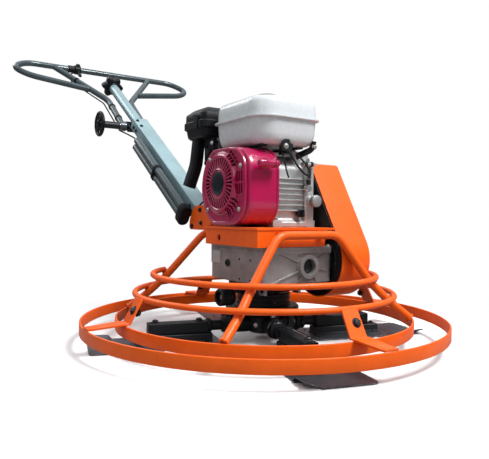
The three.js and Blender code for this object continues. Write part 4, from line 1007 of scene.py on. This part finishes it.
def pivot_parts():
    axle = solid("x", [(6.5, -128), (8, -126.5), (8, 68.5), (6.5, 70)], PIVOT_S, PIVOT_N, 36)
    spacer = solid("x", [(12, -126), (13, -125), (13, -59), (12, -58)], PIVOT_S, PIVOT_N, 48)
    nut = prism("x", circle(PIVOT_S, PIVOT_N, 13, 6), 58.2, 68)
    saddle = prism("x", corners([(PIVOT_S - 26, -44), (PIVOT_S + 26, -44), (PIVOT_S + 26, -19.6),
                                 (PIVOT_S - 26, -19.6)], [14, 14, 2, 2]), -30, 30)
    return carve(axle, [spacer, nut, saddle])


def clamp_wheel():
    rim = moved(pipe(ring_path(40, 0, 72), 6.5, 20, True), Matrix.Rotation(math.radians(90), 4, "Y"))
    spokes = [moved(prism("z", rect((-4, 4), (-5, 5), 2.4), -39, 39), turn_about("X", 60 * i))
              for i in range(3)]
    hub = solid("x", [(11, -10), (14, -7), (14, 7.5), (12.5, 9)], sides=48)
    bore = rod("x", 8.4, 0, 12, 0, 0, 32)
    face = solid("x", [(6, -12), (6, -7.5)], sides=6)
    return moved(carve(rim, [hub, *spokes], [bore, face]), Matrix.Translation((-135, PIVOT_S, PIVOT_N)))


def handlebar():
    loop = [(-104, 286, 0), (-330, 346, 0), (-378, BAR_TOP - 60, 0), (-318, BAR_TOP, 0),
            (318, BAR_TOP, 0), (378, BAR_TOP - 60, 0), (330, 346, 0), (104, 286, 0)]
    arms = [pipe(bent([(side * 46, 2, 0), (side * 46, 205, 0), (side * 207, BAR_TOP - 4, 0)], 30), BAR_R, 28)
            for side in (-1, 1)]
    eyes = [solid("x", [(16.5, a - 10.5), (18, a - 9), (18, a + 9), (16.5, a + 10.5)]) for a in (-46.5, 46.5)]
    return carve(pipe(bent(loop, 38), BAR_R, 28), [*arms, *eyes], [rod("x", 8.5, -70, 70, 0, 0, 32)])


def throttle():
    ring = turned("x", [(12, -12), (17.5, -12), (19, -10.5), (19, 10.5), (17.5, 12), (12, 12)], sides=56)
    paddle = prism("z", corners([(-5, -17), (5, -17), (7, -54), (4, -62), (-4, -62), (-7, -54)],
                                [1, 1, 6, 3, 3, 6]), -3.6, 3.6)
    pinch = prism("x", rect((-6, 6), (15, 26), 2), -7, 7)
    return carve(ring, [paddle, pinch])


def lift_pole():
    tubes = [solid("y", [(12, 46), (12, 478.5), (11, 480)], POLE_X, n, 36) for n in POLE_N]
    collar = turned("y", [(12, 268), (13.2, 268), (13.2, 476), (12, 477)], POLE_X, POLE_N[0], 36)
    return carve(tubes[0], [tubes[1], collar])


def build_handle():
    piece("tube", on_handle(handle_tube()), "machine", "blue_grey", ["handle_tube"], bevel=0.5)
    liner = turned("y", [(10.2, 944), (15, 944), (15, 955.4), (10.2, 955.4)], sides=40)
    piece("tube_liner", on_handle(liner), "machine", "dark_steel")
    piece("star_knob", on_handle(star_knob()), "knob", "plastic", ["pitch_knob"], bevel=0.3, angle=40)
    piece("axle", on_handle(pivot_parts()), "machine", "dark_steel", ["pivot_axle"], bevel=0.4)
    piece("hand_wheel_rim", on_handle(clamp_wheel()), "hand_wheel", "plastic", ["clamp_wheel"], bevel=0.3)
    piece("pole_tubes", on_handle(lift_pole()), "pole", "slate", ["lift_pole"])
    band = prism("y", rect((POLE_X - 15, POLE_X + 15), (-38, 18), 14), 269, 281)
    shoe = loft([[(x, s, n) for x, n in rect((POLE_X - 18 + k, POLE_X + 18 - k), (-44 + k, 20 - k), 17 - k)]
                 for s, k in ((22, 4), (24, 1.2), (27, 0), (47, 0), (51, 1.4), (52, 4))])
    piece("pole_band", on_handle(gather(band, shoe)), "pole", "rubber", bevel=0.8)
    piece("bar_loop", on_bar(handlebar()), "tiller", "slate", ["handlebar"], angle=40)
    lever = moved(throttle(), Matrix.Translation((THROTTLE_X, BAR_TOP, 0)))
    piece("throttle_paddle", on_bar(lever), "throttle", "plastic", ["throttle_lever"], bevel=0.6)
    stop = turned("x", [(11.6, -150), (15, -150), (15, -126), (11.6, -126)], BAR_TOP, 0, 40)
    inner, outer = BAR_R + 0.1, BAR_R + 2.4
    ties = [aimed(turned("z", [(inner, -3), (outer, -3), (outer, 3), (inner, 3)], sides=28), at, along)
            for at, along in (((-140, 350, 0), (-161, 253, 0)), ((-46, 150, 0), Y), ((-46, 60, 0), Y))]
    piece("cable_ties", on_bar(gather(stop, *ties)), "tiller", "plastic", bevel=0.4)
    route = bent([(-126, BAR_TOP - 12, -8), (-150, BAR_TOP - 30, -13), (-154, 365, -14.5), (-62, 205, -15),
                  (-60.5, 60, -14)], 14)
    upper = [BAR @ p for p in route]
    lower = [HANDLE @ Vector(p) for p in bent([(-50, 672, -55), (-36, 622, -44), (-32, 560, -28),
                                               (-31, 120, -26), (-31, 40, -20)], 12)]
    machine_end = [Vector((-66, 262, 340)), Vector((-70, 196, 356)), Vector((-72, 150, 430)),
                   Vector((-66, 140, 470))]
    cable = pipe(bent(upper + [lower[0]], 2) + lower[1:] + bent(machine_end, 14)[1:], 2.6, 10)
    ends = [TO_ROW @ (HANDLE @ Vector((-50, s, n))) for s, n in ((712, -44), (612, -44))]
    piece("throttle_cable", cable, ("tiller", "machine", *ends), "rubber")
    heads = [bolt((x, s, 22), Z, 5) for x, s in ((-18, 560), (-18, 604))]
    heads += [bolt((-28, s, -4), -X, 5) for s in (572, 598)]
    heads += [bolt((28, s, -4), X, 5) for s in (572, 598)]
    heads += [bolt((side * 28, s, 0), X * side, 6.5) for side in (-1, 1) for s in (24, 62)]
    piece("handle_bolts", on_handle(gather(*heads)), "machine", "dark_steel")
    nuts = [turned("x", [(8.6, a), (13, a), (13, a + 2.4), (8.6, a + 2.4)], PIVOT_S, PIVOT_N, 36)
            for a in (-59.4, 57.2)]
    piece("axle_washers", on_handle(gather(*nuts)), "machine", "zinc")


NODE_LOOKS = {"worm_wheel": "bronze", "worm_shaft": "steel", "output_shaft": "steel",
              "output_bearing": "steel", "crankshaft": "steel", "pitch_screw": "steel",
              "driven_pulley": "cast", "clutch_pulley": "dark_steel", "drive_belt": "rubber",
              "flywheel_fan": "cast", "starter_reel": "plastic", "choke_lever": "zinc",
              "fuel_valve_lever": "zinc"}


def finish_nodes():
    """CAD parts shown as they are get a material and softened edges."""
    for name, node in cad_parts.items():
        if node.hide_render:
            continue
        node.data.materials.clear()
        node.data.materials.append(LOOKS[NODE_LOOKS[name]])
        edge = node.modifiers.new("edge", "BEVEL")
        edge.width, edge.segments, edge.limit_method = 0.0005, 2, "ANGLE"


# ---------------------------------------------------------------- staging
def camera_ray_mix(tree, seen, unseen):
    """Camera rays get the first shader and every other ray the second."""
    ray, mix = tree.nodes.new("ShaderNodeLightPath"), tree.nodes.new("ShaderNodeMixShader")
    tree.links.new(ray.outputs["Is Camera Ray"], mix.inputs[0])
    tree.links.new(unseen, mix.inputs[1])
    tree.links.new(seen, mix.inputs[2])
    return mix.outputs[0]


def pale_floor():
    """White paper under the machine that turns into even white further out, so no horizon shows."""
    reach, height = 40000, -0.2
    floor = shape([(u, v, height) for u, v in rect((-reach, reach), (-reach, reach))], [(0, 1, 2, 3)])
    moved(floor, TO_ROW)
    floor.name = "floor"
    paper = surface("pale_floor", (0.93, 0.93, 0.93), 0.75, tone=0.01, bump=0.0, grime_and_shade=0.0)
    tree = paper.node_tree
    glow = tree.nodes.new("ShaderNodeEmission")
    where, far = tree.nodes.new("ShaderNodeTexCoord"), tree.nodes.new("ShaderNodeVectorMath")
    far.operation, far.inputs[1].default_value = "DISTANCE", (0, ROTOR_Y, 0)
    ramp, mix = tree.nodes.new("ShaderNodeMapRange"), tree.nodes.new("ShaderNodeMixShader")
    ramp.interpolation_type = "SMOOTHSTEP"
    ramp.inputs["From Min"].default_value, ramp.inputs["From Max"].default_value = 0.45, 0.95
    tree.links.new(where.outputs["Object"], far.inputs[0])
    tree.links.new(far.outputs["Value"], ramp.inputs["Value"])
    tree.links.new(ramp.outputs[0], mix.inputs[0])
    dim = tree.nodes.new("ShaderNodeBsdfDiffuse")
    dim.inputs["Color"].default_value = (0.3, 0.3, 0.3, 1)
    tree.links.new(tree.nodes["Principled BSDF"].outputs[0], mix.inputs[1])
    tree.links.new(glow.outputs[0], mix.inputs[2])
    tree.links.new(camera_ray_mix(tree, mix.outputs[0], dim.outputs[0]),
                   tree.nodes["Material Output"].inputs[0])
    floor.data.materials.append(paper)


def studio():
    scene = bpy.context.scene
    scene.view_settings.view_transform = "Standard"
    pale_floor()
    world = bpy.data.worlds.new("studio")
    scene.world = world
    world.use_nodes = True
    tree = world.node_tree
    room, wall = tree.nodes["Background"], tree.nodes.new("ShaderNodeBackground")
    room.inputs["Color"].default_value = (0.93, 0.97, 1, 1)
    way, split = tree.nodes.new("ShaderNodeTexCoord"), tree.nodes.new("ShaderNodeSeparateXYZ")
    height = tree.nodes.new("ShaderNodeMapRange")
    for socket, value in zip(list(height.inputs)[1:5], (0.05, 0.9, 0.1, 0.95)):
        socket.default_value = value
    tree.links.new(way.outputs["Generated"], split.inputs[0])
    tree.links.new(split.outputs["Z"], height.inputs["Value"])
    tree.links.new(height.outputs[0], room.inputs["Strength"])
    wall.inputs["Color"].default_value, wall.inputs["Strength"].default_value = (1, 1, 1, 1), 1
    tree.links.new(camera_ray_mix(tree, wall.outputs[0], room.outputs[0]),
                   tree.nodes["World Output"].inputs[0])
    aim = Vector((0, ROTOR_Y + 0.1, 0.4))
    for name, place_at, size, power in (("key", (0.9, -2.1, 3.5), 1.2, 178),
                                        ("fill", (-3.0, -1.6, 2.2), 1.6, 10),
                                        ("rim", (-1.2, 3.0, 2.8), 1.6, 30)):
        lamp = bpy.data.lights.new(name, "AREA")
        lamp.size, lamp.energy = size, power
        stand = bpy.data.objects.new(name, lamp)
        stand.location = Vector(place_at) + Vector((0, ROTOR_Y, 0))
        stand.rotation_mode = "QUATERNION"
        stand.rotation_quaternion = (aim - stand.location).to_track_quat("-Z", "Y")
        scene.collection.objects.link(stand)


# The camera's place is in metres from the rotor axis at floor level.
CAMERA_AT = Vector((-0.8205, -1.1695, 0.313))
CAMERA_AHEAD, CAMERA_RIGHT = (0.5447, 0.8384, -0.0222), (0.8386, -0.5446, 0.0099)
SENSOR_MM, LENS_MM = 36, 40.5


def camera():
    lens = bpy.data.cameras.new("view")
    lens.sensor_width, lens.lens = SENSOR_MM, LENS_MM
    eye = bpy.data.objects.new("view", lens)
    ahead, right = Vector(CAMERA_AHEAD).normalized(), Vector(CAMERA_RIGHT).normalized()
    up = right.cross(ahead).normalized()
    turn = Matrix((ahead.cross(up), up, -ahead)).transposed()
    eye.matrix_world = Matrix.Translation(CAMERA_AT + Vector((0, ROTOR_Y, 0))) @ turn.to_4x4()
    bpy.context.scene.collection.objects.link(eye)
    bpy.context.scene.camera = eye


for build in (build_guard, build_deck, build_gearbox, build_drive, build_rotor, build_engine, build_handle,
              finish_nodes, studio, camera):
    build()
